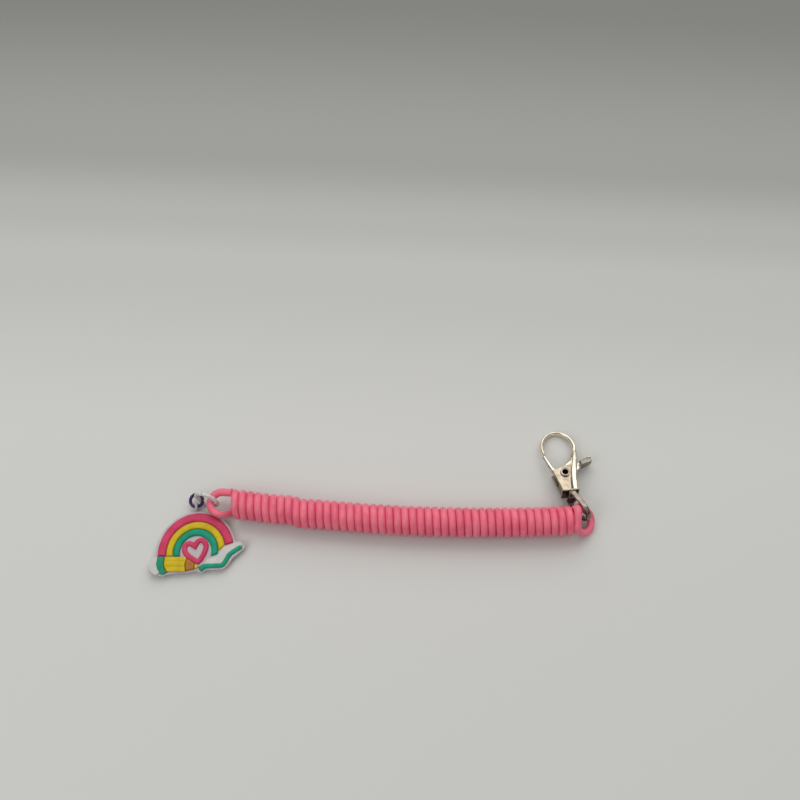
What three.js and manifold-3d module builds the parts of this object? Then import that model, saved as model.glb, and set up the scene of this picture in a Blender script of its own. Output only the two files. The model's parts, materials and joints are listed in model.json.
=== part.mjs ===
// A knitting needle holder: a soft spring-coil cord with a swivel trigger clasp at its right end
// and a moulded rainbow charm, hung on two small rings, at its left end.
// Millimetres, +X along the coil towards the clasp, -Y towards the front, +Z up, lying on Z = 0.
import * as THREE from "three";
import { mergeVertices } from "three/addons/utils/BufferGeometryUtils.js";
import Module from "manifold-3d";

const wasm = await Module();
wasm.setup();

// General clearances
const GAP = 0.3;
const LINK_CLEARANCE = 0.6;

// Coil cord
const CORD_DIAMETER = 2.25;
const COIL_DIAMETER = 10.8;
const COIL_TURNS = 44;
const COIL_PITCH = 2.705;
const COIL_BOW = 3.25;
const TURN_STEPS = 8;
const CORD_SIDES = 5;
const FLOOR_CUT = CORD_DIAMETER / 10;
const TURNS_SLIP = 0.45;
const SLIP_PLACE = -37;
const SLIP_WIDTH = 2.7;

// End loops of the cord
const LOOP_LEAN = 66.4;
const LOOP_STEP = 22.5;
const LEFT_LOOP_RISE = 6;
const LEFT_LOOP_TUCK = 0.5;
const LEFT_LOOP_OPEN = 25;
const LEFT_LOOP_CLOSE = 172;
const RIGHT_LOOP_DOOR = 38;
const RIGHT_LOOP_TUCK = 0.3;
const RIGHT_LOOP_OPEN = -30;
const RIGHT_LOOP_CLOSE = 162;
const RIGHT_LOOP_SPREAD = 1.5;
const SPLICE_HEIGHT = 0.6;
const SPLICE_REACH = 0.75;

// White jump ring and purple ring
const WHITE_RING_RADIUS = 4;
const WHITE_RING_WIRE = 1.4;
const WHITE_RING_TURN = -15.8;
const WHITE_RING_BACK = 1.29;
const WHITE_RING_SIDES = 8;
const WHITE_RING_STEPS = 40;
const WHITE_RING_SPLIT_ANGLE = 105;
const PURPLE_RING_RADIUS = 2.25;
const PURPLE_RING_WIRE = 1;
const PURPLE_RING_SIDES = 8;
const PURPLE_RING_STEPS = 32;
const PURPLE_RING_OUTSET = 0.65;
const PURPLE_RING_FRONT = 0.8;
const PURPLE_RING_TILT = 17;
const PURPLE_RING_LEAN = -109.5;

// Charm
const CHARM_THICKNESS = 2.2;
const RELIEF_HEIGHT = 0.8;
const PAGE_HEIGHT = 0.4;
const CHARM_TURN = 3.1;
const CHARM_BORDER = 0.8;
const GROOVE = 0.3;
const ARCH_RISE = 1.11;
const PINK_RADIUS = 13.1;
const PINK_BAND = 2.8;
const YELLOW_BAND = 2.1;
const GREEN_BAND = 2.2;
const BAND_FOOT = -1.6;
const ARCH_SEGMENTS = 20;
const EYELET_RADIUS = 1.25;
const EYELET_WIRE = 0.9;
const EYELET_HEIGHT = 2.05;
const EYELET_ANGLE = 95;
const HEART_STROKE = 0.167;
const HEART_TURN = 17;
const HEART_WIDE = 0.83;
const HEART_TALL = 0.92;
const LINE_WIDTH = 1.4;

// Clasp
const BODY_THICKNESS = 4.8;
const BODY_BASE_WIDTH = 5.8;
const SLOT_WIDTH = 3;
const HOOK_THICKNESS = 2.2;
const HOOK_CENTRE_UP = 19.8;
const HOOK_CENTRE_SIDE = -0.45;
const HOOK_HALF_WIDTH = 6.5;
const HOOK_HALF_HEIGHT = 7.4;
const HOOK_BAR = 1.4;
const RIVET_UP = 7.73;
const RIVET_SIDE = -0.48;
const RIVET_DIAMETER = 2.6;
const RIVET_BORE = 2;
const RIVET_HEAD = 3.6;
const RIVET_HEAD_THICKNESS = 0.5;
const RIVET_WEB = 1;
const GATE_THICKNESS = 1.2;
const GATE_OFFSET = -1.25;
const GATE_BAR = 1.2;
const BOSS_RADIUS = 2.35;
const TAB_THICKNESS = 3.2;
const SPRING_WIRE = 0.3;
const SPRING_PITCH = 0.75;
const SPRING_RADIUS = 1.85;
const SPRING_LEG = 2.2;
const SPRING_OFFSET = 0.35;
const SWIVEL_GAP = 0.65;
const POST_DIAMETER = 2;
const POST_DEPTH = 1.8;
const POST_HEAD = 3.6;
const POST_HEAD_THICKNESS = 0.8;
const LINK_WIDTH = 8.2;
const LINK_HEIGHT = 11;
const LINK_THICKNESS = 0.9;
const LINK_STRIP = 2.2;
const LINK_PLAY = 0.15;
const LINK_TURN = 86;
const LINK_LEAN = 34;
const CLASP_LEAN = 9;
const SEAT_SIDE = 1.35;
const SEAT_BACK = 0.45;
const SEAT_RISE = 1.55;
const CURVE_SEGMENTS = 10;

// Sizes that follow from those above
const TURN_RADIUS = (COIL_DIAMETER - CORD_DIAMETER) / 2;
const AXIS_HEIGHT = COIL_DIAMETER / 2 - FLOOR_CUT;
const LAST_TURN_SHARE = 1 / 4;
const COIL_LENGTH = (COIL_TURNS + LAST_TURN_SHARE) * COIL_PITCH;
const COIL_START = -COIL_LENGTH / 2;
const COIL_END = COIL_LENGTH / 2;
const ORIGIN = new THREE.Vector3();
const RIGHT = new THREE.Vector3(1, 0, 0);
const BACK = new THREE.Vector3(0, 1, 0);
const UP = new THREE.Vector3(0, 0, 1);

const COLOURS = {
  cord: 0xe87688,
  white: 0xe4e2dd,
  purple: 0x3d1650,
  pink: 0xc9486c,
  yellow: 0xcbb534,
  green: 0x259576,
  wood: 0xbd8740,
  nickel: 0xc9c6bd,
};

function material(colour, roughness = 0.5, metalness = 0) {
  return new THREE.MeshStandardMaterial({ color: COLOURS[colour], roughness, metalness });
}

const RUBBER = material("cord", 0.45);
const METAL = material("nickel", 0.25, 1);

const radians = THREE.MathUtils.degToRad;
const blend = (a, b, share) => a + (b - a) * share;

// A closed geometry as a solid that can be joined and cut
function solidOf(geometry) {
  const bare = geometry.clone();
  bare.deleteAttribute("normal");
  bare.deleteAttribute("uv");
  const merged = mergeVertices(bare, 1e-4);
  return new wasm.Manifold(
    new wasm.Mesh({
      numProp: 3,
      vertProperties: new Float32Array(merged.attributes.position.array),
      triVerts: new Uint32Array(merged.index.array),
    }),
  );
}

function geometryOf(solid) {
  const made = solid.getMesh();
  const positions = new Float32Array(made.numVert * 3);
  for (let i = 0; i < made.numVert; i++) {
    const from = i * made.numProp;
    positions.set(made.vertProperties.subarray(from, from + 3), i * 3);
  }
  const geometry = new THREE.BufferGeometry();
  geometry.setAttribute("position", new THREE.BufferAttribute(positions, 3));
  geometry.setIndex(new THREE.BufferAttribute(made.triVerts, 1));
  geometry.computeVertexNormals();
  return geometry;
}

const joined = (...parts) => parts.map(solidOf).reduce((all, one) => all.add(one));

function named(name, geometry, look) {
  const mesh = new THREE.Mesh(geometry, look);
  mesh.name = name;
  return mesh;
}

// A group whose own axes are the three given directions
function framed(position, x, y, z) {
  const group = new THREE.Group();
  group.position.copy(position);
  group.quaternion.setFromRotationMatrix(new THREE.Matrix4().makeBasis(x, y, z));
  return group;
}

// A closed tube through the points, with each ring turned to its own outward direction
function tube(points, outwards, radius, sides) {
  const positions = [];
  const faces = [];
  const last = points.length - 1;
  points.forEach((point, i) => {
    const ahead = points[Math.min(i + 1, last)];
    const behind = points[Math.max(i - 1, 0)];
    const along = ahead.clone().sub(behind).normalize();
    const out = outwards[i].clone().addScaledVector(along, -outwards[i].dot(along)).normalize();
    const side = along.clone().cross(out);
    for (let k = 0; k < sides; k++) {
      const turn = (k / sides) * 2 * Math.PI;
      const corner = point.clone();
      corner.addScaledVector(out, radius * Math.cos(turn));
      corner.addScaledVector(side, radius * Math.sin(turn));
      positions.push(corner.x, corner.y, corner.z);
    }
  });
  for (let i = 0; i < last; i++) {
    for (let k = 0; k < sides; k++) {
      const a = i * sides + k;
      const b = i * sides + ((k + 1) % sides);
      faces.push(a, b, a + sides, b, b + sides, a + sides);
    }
  }
  for (let k = 1; k < sides - 1; k++) {
    faces.push(0, k + 1, k);
    faces.push(last * sides, last * sides + k, last * sides + k + 1);
  }
  const geometry = new THREE.BufferGeometry();
  geometry.setAttribute("position", new THREE.Float32BufferAttribute(positions, 3));
  geometry.setIndex(faces);
  return geometry;
}

// The coil's centre line: a gentle bow, with one place where two turns have slipped sideways
function coilAxis(x) {
  const share = THREE.MathUtils.clamp(x / COIL_END, -1, 1);
  const slip = (x - SLIP_PLACE) / SLIP_WIDTH;
  const sideways = TURNS_SLIP * -slip * Math.exp((1 - slip * slip) / 2);
  return new THREE.Vector3(x, COIL_BOW * (share * share - 1) + sideways, AXIS_HEIGHT);
}

// A point on the turns, by its angle from straight up, which grows towards the front
function onTurn(angle, x) {
  const out = new THREE.Vector3(0, -Math.sin(angle), Math.cos(angle));
  return { at: coilAxis(x).addScaledVector(out, TURN_RADIUS), out };
}

function helix() {
  const steps = Math.round((COIL_TURNS + LAST_TURN_SHARE) * TURN_STEPS);
  return Array.from({ length: steps + 1 }, (unused, i) => {
    const angle = -Math.PI + (i / TURN_STEPS) * 2 * Math.PI;
    return onTurn(angle, COIL_START + (i / TURN_STEPS) * COIL_PITCH);
  });
}

// An end loop: a circle in the plane of two directions, starting at its lowest point
function loopPoint(loop, degrees) {
  const angle = radians(degrees);
  const out = loop.outward.clone().multiplyScalar(Math.sin(angle));
  out.addScaledVector(loop.upward, -Math.cos(angle));
  const at = loop.centre.clone().addScaledVector(out, TURN_RADIUS);
  at.addScaledVector(loop.spread, (degrees + 90) / 360);
  return { at, out };
}

function loopRun(loop, from, to) {
  const steps = Math.round((to - from) / LOOP_STEP);
  return Array.from({ length: steps + 1 }, (unused, i) => loopPoint(loop, blend(from, to, i / steps)));
}

const coilLean = radians(LOOP_LEAN);
const picturedUp = new THREE.Vector3(0, Math.sin(coilLean), Math.cos(coilLean));
const picturedFront = new THREE.Vector3(0, -Math.cos(coilLean), Math.sin(coilLean));

const leftRise = radians(LEFT_LOOP_RISE);
const leftLoop = {
  centre: new THREE.Vector3(COIL_START - TURN_RADIUS + LEFT_LOOP_TUCK, 0, AXIS_HEIGHT),
  outward: RIGHT.clone().negate(),
  upward: new THREE.Vector3(0, Math.cos(leftRise), Math.sin(leftRise)),
  spread: ORIGIN,
};

const door = radians(RIGHT_LOOP_DOOR);
const doorWay = RIGHT.clone().multiplyScalar(Math.cos(door)).addScaledVector(picturedFront, -Math.sin(door));
const rightLoop = {
  centre: new THREE.Vector3(COIL_END + TURN_RADIUS * Math.cos(door) + RIGHT_LOOP_TUCK, 0, AXIS_HEIGHT),
  outward: doorWay,
  upward: picturedUp,
  spread: doorWay.clone().cross(picturedUp).multiplyScalar(-RIGHT_LOOP_SPREAD),
};

// A smooth bend from the last step of one run to the first step of the next
function bend(before, after, steps) {
  const [a, b] = [before[before.length - 1], after[0]];
  const reach = a.at.distanceTo(b.at);
  const start = a.at.clone().sub(before[before.length - 2].at).setLength(reach);
  const end = after[1].at.clone().sub(b.at).setLength(reach);
  return Array.from({ length: steps }, (unused, i) => {
    const t = (i + 1) / (steps + 1);
    const at = a.at.clone().multiplyScalar(2 * t ** 3 - 3 * t ** 2 + 1);
    at.addScaledVector(start, t ** 3 - 2 * t ** 2 + t);
    at.addScaledVector(b.at, 3 * t ** 2 - 2 * t ** 3);
    at.addScaledVector(end, t ** 3 - t ** 2);
    return { at, out: a.out.clone().lerp(b.out, t) };
  });
}

// A straight run of one cord diameter that ends square
function straight(at, along, out, length = CORD_DIAMETER) {
  return [0, 1].map((share) => ({ at: at.clone().addScaledVector(along, length * share), out }));
}

function straightTip(run) {
  const [before, last] = run.slice(-2);
  const along = last.at.clone().sub(before.at).normalize();
  return straight(last.at, along, last.out)[1];
}

// The splice between the coil and its right end loop lies on the front of the last turn
const spliceOut = picturedFront;
const spliceAlong = picturedUp.clone().negate();
const splice = new THREE.Vector3(COIL_END + SPLICE_REACH, 0, AXIS_HEIGHT)
  .addScaledVector(picturedUp, SPLICE_HEIGHT)
  .addScaledVector(picturedFront, TURN_RADIUS - SPLICE_HEIGHT);

function coilRoute() {
  const turns = helix();
  const loop = loopRun(leftLoop, LEFT_LOOP_OPEN, LEFT_LOOP_CLOSE);
  const leftSide = [straightTip(loop), ...loop.reverse()];
  const end = straight(splice.clone().addScaledVector(spliceAlong, -GAP / 2 - CORD_DIAMETER), spliceAlong, spliceOut);
  return [...leftSide, ...bend(leftSide, turns, 4), ...turns, ...bend(turns, end, 4), ...end];
}

function endLoopRoute() {
  const start = straight(splice.clone().addScaledVector(spliceAlong, GAP / 2), spliceAlong, spliceOut);
  const loop = loopRun(rightLoop, RIGHT_LOOP_OPEN, RIGHT_LOOP_CLOSE);
  return [...start, ...bend(start, loop, 3), ...loop, straightTip(loop)];
}

// The least gap between the surfaces of stretches that aren't neighbours along a cord or wire
function leastGap(route, diameter, apart) {
  const lengths = [0];
  for (let i = 1; i < route.length; i++) {
    lengths.push(lengths[i - 1] + route[i].at.distanceTo(route[i - 1].at));
  }
  let least = Infinity;
  for (let i = 0; i < route.length; i++) {
    for (let j = i + 1; j < route.length; j++) {
      if (lengths[j] - lengths[i] < apart) continue;
      least = Math.min(least, route[i].at.distanceTo(route[j].at) - diameter);
    }
  }
  return least;
}

function printGap(what, route, diameter, apart) {
  console.log(`least gap of the ${what} to itself: ${leastGap(route, diameter, apart).toFixed(2)} mm`);
}

function cordTube(route, sides) {
  return tube(route.map((step) => step.at), route.map((step) => step.out), CORD_DIAMETER / 2, sides);
}

// Everything below the floor, for the flats that the coil stands on
function belowFloor() {
  const side = 2 * COIL_LENGTH;
  return new THREE.BoxGeometry(side, side, COIL_DIAMETER).translate(0, 0, -COIL_DIAMETER / 2);
}

function coilCord() {
  const route = coilRoute();
  printGap("coil", route, CORD_DIAMETER, 2 * TURN_RADIUS);
  const standing = solidOf(cordTube(route, CORD_SIDES)).subtract(solidOf(belowFloor()));
  return named("coil_cord", geometryOf(standing), RUBBER);
}

function coilEndLoop() {
  const route = endLoopRoute();
  printGap("end loop", route, CORD_DIAMETER, 2 * TURN_RADIUS);
  return named("coil_end_loop", cordTube(route, CORD_SIDES + 3), RUBBER);
}

// A ring of round wire in its group's XY plane, from one end of its split to the other
function wireRing(radius, wire, sides, steps, from, split) {
  const span = 2 * Math.PI - split / radius;
  const outs = Array.from({ length: steps + 1 }, (unused, i) => {
    const angle = from + split / radius / 2 + (i / steps) * span;
    return new THREE.Vector3(Math.cos(angle), Math.sin(angle), 0);
  });
  return tube(outs.map((out) => out.clone().multiplyScalar(radius)), outs, wire / 2, sides);
}

// The white ring stands on the floor, threaded through the left end loop
const leftLimb = leftLoop.centre.clone().addScaledVector(leftLoop.outward, TURN_RADIUS);
const cordSpace = COIL_PITCH / 2;
const whiteCentre = new THREE.Vector3(
  leftLimb.x + cordSpace + LINK_CLEARANCE - WHITE_RING_RADIUS + WHITE_RING_WIRE / 2,
  WHITE_RING_BACK,
  WHITE_RING_RADIUS + WHITE_RING_WIRE / 2,
);
const whiteTurn = radians(WHITE_RING_TURN);
const whiteAcross = new THREE.Vector3(Math.cos(whiteTurn), Math.sin(whiteTurn), 0);

function whiteRing() {
  const group = framed(whiteCentre, whiteAcross, UP, whiteAcross.clone().cross(UP));
  const from = radians(WHITE_RING_SPLIT_ANGLE);
  const ring = wireRing(WHITE_RING_RADIUS, WHITE_RING_WIRE, WHITE_RING_SIDES, WHITE_RING_STEPS, from, GAP);
  group.add(named("white_ring", ring, material("white", 0.35)));
  return group;
}

// The purple ring hangs on the lower left of the white one, and the charm's eyelet hangs on it
const eyeletRise = EYELET_HEIGHT;
const purpleRise = eyeletRise + PURPLE_RING_RADIUS * 0.27;
const whiteReach = WHITE_RING_RADIUS + PURPLE_RING_OUTSET;
const whiteDrop = Math.asin((whiteCentre.z - purpleRise) / whiteReach);
const purpleCentre = whiteCentre
  .clone()
  .addScaledVector(whiteAcross, -whiteReach * Math.cos(whiteDrop))
  .addScaledVector(UP, -whiteReach * Math.sin(whiteDrop));
purpleCentre.y -= PURPLE_RING_FRONT;

function purpleRing() {
  const tilt = radians(PURPLE_RING_TILT);
  const lean = radians(PURPLE_RING_LEAN);
  const normal = new THREE.Vector3(Math.sin(tilt) * Math.cos(lean), Math.sin(tilt) * Math.sin(lean), Math.cos(tilt));
  const across = BACK.clone().cross(normal).normalize();
  const group = framed(purpleCentre, across, normal.clone().cross(across), normal);
  const ring = wireRing(PURPLE_RING_RADIUS, PURPLE_RING_WIRE, PURPLE_RING_SIDES, PURPLE_RING_STEPS, 0, GAP);
  group.add(named("purple_ring", ring, material("purple", 0.3, 0.6)));
  return group;
}

// Charm: outlines in its own plane, with the arch's centre at its origin
const pinkInner = PINK_RADIUS - PINK_BAND;
const yellowOuter = pinkInner - GROOVE;
const yellowInner = yellowOuter - YELLOW_BAND;
const greenOuter = yellowInner - GROOVE;
const greenInner = greenOuter - GREEN_BAND;
const archEdge = PINK_RADIUS + CHARM_BORDER;

function plate(shape, low, high, bevel = 0, segments = CURVE_SEGMENTS) {
  const geometry = new THREE.ExtrudeGeometry(shape, {
    depth: high - low - bevel,
    curveSegments: segments,
    bevelEnabled: bevel > 0,
    bevelThickness: bevel,
    bevelSize: bevel,
    bevelOffset: -bevel,
    bevelSegments: 1,
  });
  return geometry.translate(0, 0, low);
}

// A raised piece on the charm's face, with its upper edge bevelled and its foot flat
function reliefSolid(shape, height = RELIEF_HEIGHT, segments = CURVE_SEGMENTS) {
  const low = CHARM_THICKNESS;
  const bevel = height / 4;
  const whole = solidOf(plate(shape, low - bevel, low + height, bevel, segments));
  const under = new THREE.BoxGeometry(4 * PINK_RADIUS, 4 * PINK_RADIUS, CHARM_THICKNESS);
  under.translate(0, 0, CHARM_THICKNESS / 2);
  return whole.subtract(solidOf(under));
}

const relief = (...shaping) => geometryOf(reliefSolid(...shaping));

const along = (shape, points) => points.forEach(([x, y]) => shape.lineTo(x, y));

function polygon(points) {
  const shape = new THREE.Shape();
  shape.moveTo(...points[0]);
  along(shape, points.slice(1));
  return shape;
}

// The charm's outlines are drawn for an arch of this radius, and grow with it
const DRAWN_RADIUS = 13.1;
const drawn = PINK_RADIUS / DRAWN_RADIUS;
const scaled = (points) => points.map(([x, y]) => [x * drawn, y * drawn]);

// Each band of the rainbow, with the angles at which its outer and inner edges end on the right
const PINK = { outer: PINK_RADIUS, inner: pinkInner, ends: [14, 13] };
const YELLOW = { outer: yellowOuter, inner: yellowInner, ends: [13, 4] };
const GREEN = { outer: greenOuter, inner: greenInner, ends: [-4, -14] };

// A band cut off level at its left foot, or the space that it needs where it is grown
function band({ outer, inner, ends }, height = RELIEF_HEIGHT, grow = 0) {
  const past = THREE.MathUtils.radToDeg(grow / inner);
  const [from, fromInner] = ends.map((degrees) => radians(degrees - past));
  const to = radians(225);
  const shape = new THREE.Shape();
  const arc = (radius, start, end, back) => shape.absellipse(0, 0, radius, radius * ARCH_RISE, start, end, back);
  const [wide, narrow] = [outer + grow, inner - grow];
  shape.moveTo(wide * Math.cos(from), wide * ARCH_RISE * Math.sin(from));
  arc(wide, from, to, false);
  arc(narrow, to, fromInner, true);
  const foot = new THREE.BoxGeometry(4 * PINK_RADIUS, PINK_RADIUS, PINK_RADIUS);
  foot.translate(-2 * PINK_RADIUS, BAND_FOOT * drawn - grow - PINK_RADIUS / 2, 0);
  return reliefSolid(shape, height, ARCH_SEGMENTS).subtract(solidOf(foot));
}

function heartShape(width, height) {
  const half = width / 2;
  const notch = height * 0.22;
  const shape = new THREE.Shape();
  shape.moveTo(0, -height / 2);
  shape.bezierCurveTo(half * 0.55, -height * 0.28, half, 0, half, height * 0.2);
  shape.bezierCurveTo(half, height * 0.56, half * 0.25, height * 0.6, 0, notch);
  shape.bezierCurveTo(-half * 0.25, height * 0.6, -half, height * 0.56, -half, height * 0.2);
  shape.bezierCurveTo(-half, 0, -half * 0.55, -height * 0.28, 0, -height / 2);
  return shape;
}

// The heart stands on its tip and fills the space under the innermost band
function heart() {
  const [[tipX, tipY]] = scaled([[1.6, -4.6]]);
  const height = (greenInner * ARCH_RISE - tipY) * HEART_TALL;
  const width = 2 * greenInner * HEART_WIDE;
  const line = width * HEART_STROKE;
  const shape = heartShape(width, height);
  shape.holes.push(heartShape(width - 2 * line, height - 2.6 * line));
  return relief(shape).translate(0, height / 2, 0).rotateZ(radians(HEART_TURN)).translate(tipX, tipY, 0);
}

// A stroke of even width along a polyline
function stroke(points, width) {
  const left = [];
  const right = [];
  points.forEach((point, i) => {
    const ahead = points[Math.min(i + 1, points.length - 1)];
    const behind = points[Math.max(i - 1, 0)];
    const way = new THREE.Vector2(ahead[0] - behind[0], ahead[1] - behind[1]).setLength(width / 2);
    left.push([point[0] - way.y, point[1] + way.x]);
    right.unshift([point[0] + way.y, point[1] - way.x]);
  });
  return polygon([...left, ...right]);
}

const [eraserCentre] = scaled([[-12.2, -5]]);
const eraserRadius = 3.6 * drawn;

function charmOutline() {
  const shape = new THREE.Shape();
  const point = (x, y) => scaled([[x, y]])[0];
  const curve = (through, to) => shape.quadraticCurveTo(...point(...through), ...point(...to));
  const [from, to] = [radians(17), radians(184)];
  shape.moveTo(archEdge * Math.cos(from), archEdge * ARCH_RISE * Math.sin(from));
  shape.absellipse(0, 0, archEdge, archEdge * ARCH_RISE, from, to, false);
  shape.absarc(...eraserCentre, eraserRadius, radians(125), radians(255), false);
  shape.lineTo(...point(-10.2, -8.9));
  curve([-9.3, -8.1], [-7.5, -7.9]);
  shape.lineTo(...point(-2.6, -7.6));
  shape.lineTo(...point(0.9, -6.9));
  curve([2.4, -8.2], [4.2, -6.5]);
  shape.lineTo(...point(9.6, -6.3));
  curve([11, -6], [12.9, -2.2]);
  shape.lineTo(...point(16.4, 0.9));
  curve([17.8, 2.4], [16.2, 4.3]);
  return shape;
}

// The eyelet stands on the arch's edge, upright and square to it
const eyeletAngle = radians(EYELET_ANGLE);
const eyeletOut = new THREE.Vector2(ARCH_RISE * Math.cos(eyeletAngle), Math.sin(eyeletAngle)).normalize();
const eyeletCentre = new THREE.Vector2(Math.cos(eyeletAngle), ARCH_RISE * Math.sin(eyeletAngle))
  .multiplyScalar(archEdge)
  .addScaledVector(eyeletOut, EYELET_RADIUS + EYELET_WIRE / 2);
const eyeletTurn = eyeletOut.angle() - Math.PI / 2;

function charmBase() {
  const slab = plate(charmOutline(), 0, CHARM_THICKNESS, 0, ARCH_SEGMENTS);
  const eyelet = new THREE.TorusGeometry(EYELET_RADIUS, EYELET_WIRE / 2, 8, 16);
  const lug = new THREE.BoxGeometry(1.5 * EYELET_WIRE, 2 * EYELET_WIRE, EYELET_HEIGHT - EYELET_WIRE / 2);
  lug.translate(0, -EYELET_RADIUS - EYELET_WIRE / 2, -EYELET_HEIGHT / 2);
  const placed = [eyelet.rotateY(Math.PI / 2), lug].map((piece) =>
    piece.rotateZ(eyeletTurn).translate(eyeletCentre.x, eyeletCentre.y, EYELET_HEIGHT),
  );
  return geometryOf(joined(slab, ...placed));
}

const FERRULE = [
  [-12.9, -1.9], [-13.2, -4.4], [-12.6, -6.4], [-11.4, -7.9], [-10.1, -8.2],
  [-9.3, -7.6], [-10.3, -6.1], [-10.75, -4], [-10.5, -1.9],
];
const BARREL = [
  [-10.2, -1.9], [-3.2, -1.9], [-2.75, -2.4], [-3.35, -4.5], [-2.85, -7], [-9, -7.35], [-10, -6], [-10.45, -4],
];
const WOOD = [[-2.4, -2.5], [0.05, -4.25], [-0.15, -5.3], [0.05, -6.25], [-2.5, -6.8], [-3, -4.5]];
const TIP = [[0.35, -4.5], [1.6, -5.35], [0.35, -6.1], [0.15, -5.3]];
const PAGE = [
  [3.3, -4.1], [4.2, -2.5], [6.2, -1.9], [7.6, -1.3], [9.4, 2], [12.2, 2.9], [13.7, 3.7],
  [15.5, 3.7], [15.1, 2.9], [10.9, 0], [9, -4], [4, -3.9],
];
const LINE = [[2.2, -6.3], [3.7, -5], [9.1, -4.9], [10, -4.3], [11.6, -1.1], [15.5, 1.9]];

function eraser() {
  const shape = new THREE.Shape();
  shape.absarc(...eraserCentre, eraserRadius - CHARM_BORDER / 2, radians(109), radians(268), false);
  along(shape, scaled([[-13, -6.6], [-13.6, -4.4]]));
  return relief(shape);
}

function page() {
  const whole = reliefSolid(polygon(scaled(PAGE)), PAGE_HEIGHT);
  return geometryOf([PINK, YELLOW, GREEN].reduce((rest, one) => rest.subtract(band(one, RELIEF_HEIGHT, GROOVE)), whole));
}

function charmPieces() {
  const moulded = (name, geometry, colour) => named(name, geometry, material(colour, 0.45));
  const drawing = (points) => relief(polygon(scaled(points)));
  return [
    moulded("charm_base", charmBase(), "white"),
    moulded("rainbow_pink", geometryOf(band(PINK)), "pink"),
    moulded("rainbow_yellow", geometryOf(band(YELLOW)), "yellow"),
    moulded("rainbow_green", geometryOf(band(GREEN)), "green"),
    moulded("heart_outline", heart(), "pink"),
    moulded("pencil_eraser", eraser(), "white"),
    moulded("pencil_ferrule", drawing(FERRULE), "green"),
    moulded("pencil_barrel", drawing(BARREL), "yellow"),
    moulded("pencil_wood", drawing(WOOD), "wood"),
    moulded("pencil_tip", drawing(TIP), "yellow"),
    moulded("page_white", page(), "white"),
    moulded("page_line", relief(stroke(scaled(LINE), LINE_WIDTH)), "green"),
  ];
}

function charm() {
  const group = new THREE.Group();
  const turn = radians(CHARM_TURN);
  const round = eyeletTurn + turn;
  const hung = purpleCentre.clone();
  hung.x += PURPLE_RING_RADIUS * Math.sin(round);
  hung.y -= PURPLE_RING_RADIUS * Math.cos(round);
  const arm = new THREE.Vector3(eyeletCentre.x, eyeletCentre.y, 0).applyAxisAngle(UP, turn);
  group.rotation.z = turn;
  group.position.set(hung.x - arm.x, hung.y - arm.y, 0);
  group.add(...charmPieces());
  return group;
}

// Clasp: outlines with X across it, Y towards the hook and the swivel's seat at the origin
const half = BODY_BASE_WIDTH / 2;
const hookInnerWidth = HOOK_HALF_WIDTH - HOOK_BAR;
const hookInnerHeight = HOOK_HALF_HEIGHT - HOOK_BAR;

function bodyOutline() {
  const shape = new THREE.Shape();
  shape.moveTo(-half, 0);
  shape.lineTo(half, 0);
  shape.quadraticCurveTo(3.5, 5, 4.6, 9.5);
  shape.lineTo(5.3, 13.4);
  shape.lineTo(5.4, 15);
  shape.lineTo(3.6, 15);
  shape.quadraticCurveTo(2.4, 11.6, -1, 10.6);
  shape.lineTo(-4.75, 9.3);
  return shape;
}

function hookOutline() {
  const shape = new THREE.Shape();
  const [x, y] = [HOOK_CENTRE_SIDE, HOOK_CENTRE_UP];
  shape.moveTo(4.2, 11);
  shape.lineTo(5, 12.5);
  shape.absellipse(x, y, HOOK_HALF_WIDTH, HOOK_HALF_HEIGHT, radians(-22), radians(198), false);
  shape.absellipse(x, y, hookInnerWidth, hookInnerHeight, radians(200), radians(-32), true);
  shape.lineTo(2.6, 13.6);
  return shape;
}

const SLOT = [[-8, 8.4], [-3.4, 4.4], [3.2, 4.4], [8, 5.4], [8, 13.3], [4.6, 13.3], [2.2, 12.2], [1.7, 16], [-8, 16]];

function tunnel(radius, length) {
  return new THREE.CylinderGeometry(radius, radius, length, 24);
}

function claspBody() {
  const body = plate(bodyOutline(), -BODY_THICKNESS / 2, BODY_THICKNESS / 2);
  const hook = plate(hookOutline(), -HOOK_THICKNESS / 2, HOOK_THICKNESS / 2, 0, ARCH_SEGMENTS);
  const slot = plate(polygon(SLOT), -SLOT_WIDTH / 2, SLOT_WIDTH / 2);
  const rivetHole = tunnel(RIVET_DIAMETER / 2 + GAP, 2 * BODY_THICKNESS).rotateX(Math.PI / 2);
  rivetHole.translate(RIVET_SIDE, RIVET_UP, 0);
  const socket = tunnel(POST_DIAMETER / 2 + GAP, 2 * (POST_DEPTH + GAP));
  const cut = [slot, rivetHole, socket].map(solidOf).reduce((rest, one) => rest.subtract(one), joined(body, hook));
  return named("clasp_body", geometryOf(cut), METAL);
}

// The gate's lever turns about its own origin, the rivet
const fromRivet = ([x, y]) => [x - RIVET_SIDE, y - RIVET_UP];
const LEVER = [
  [-6.85, 16.7], [-4.9, 9.8], [-2.7, 6.9], [-1.6, 5.7], [-0.48, 5.4], [0.8, 5.75], [1.8, 7.1], [5.2, 10.3],
  [10.1, 12.5], [10.6, 13.3], [10, 14.2], [5, 12.8], [0.8, 9.95], [-0.9, 10.05], [-3.3, 10.7], [-5.6, 17],
];
const TAB = [[6.2, 10.75], [10.1, 12.5], [10.6, 13.3], [10, 14.2], [6, 13.1]];

function claspGate() {
  const blade = plate(polygon(LEVER.map(fromRivet)), GATE_OFFSET, GATE_OFFSET + GATE_THICKNESS);
  const tab = plate(polygon(TAB.map(fromRivet)), -TAB_THICKNESS / 2, TAB_THICKNESS / 2);
  const bore = tunnel(RIVET_DIAMETER / 2 + GAP, 2 * BODY_THICKNESS).rotateX(Math.PI / 2);
  return named("clasp_gate", geometryOf(joined(blade, tab).subtract(solidOf(bore))), METAL);
}

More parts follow.
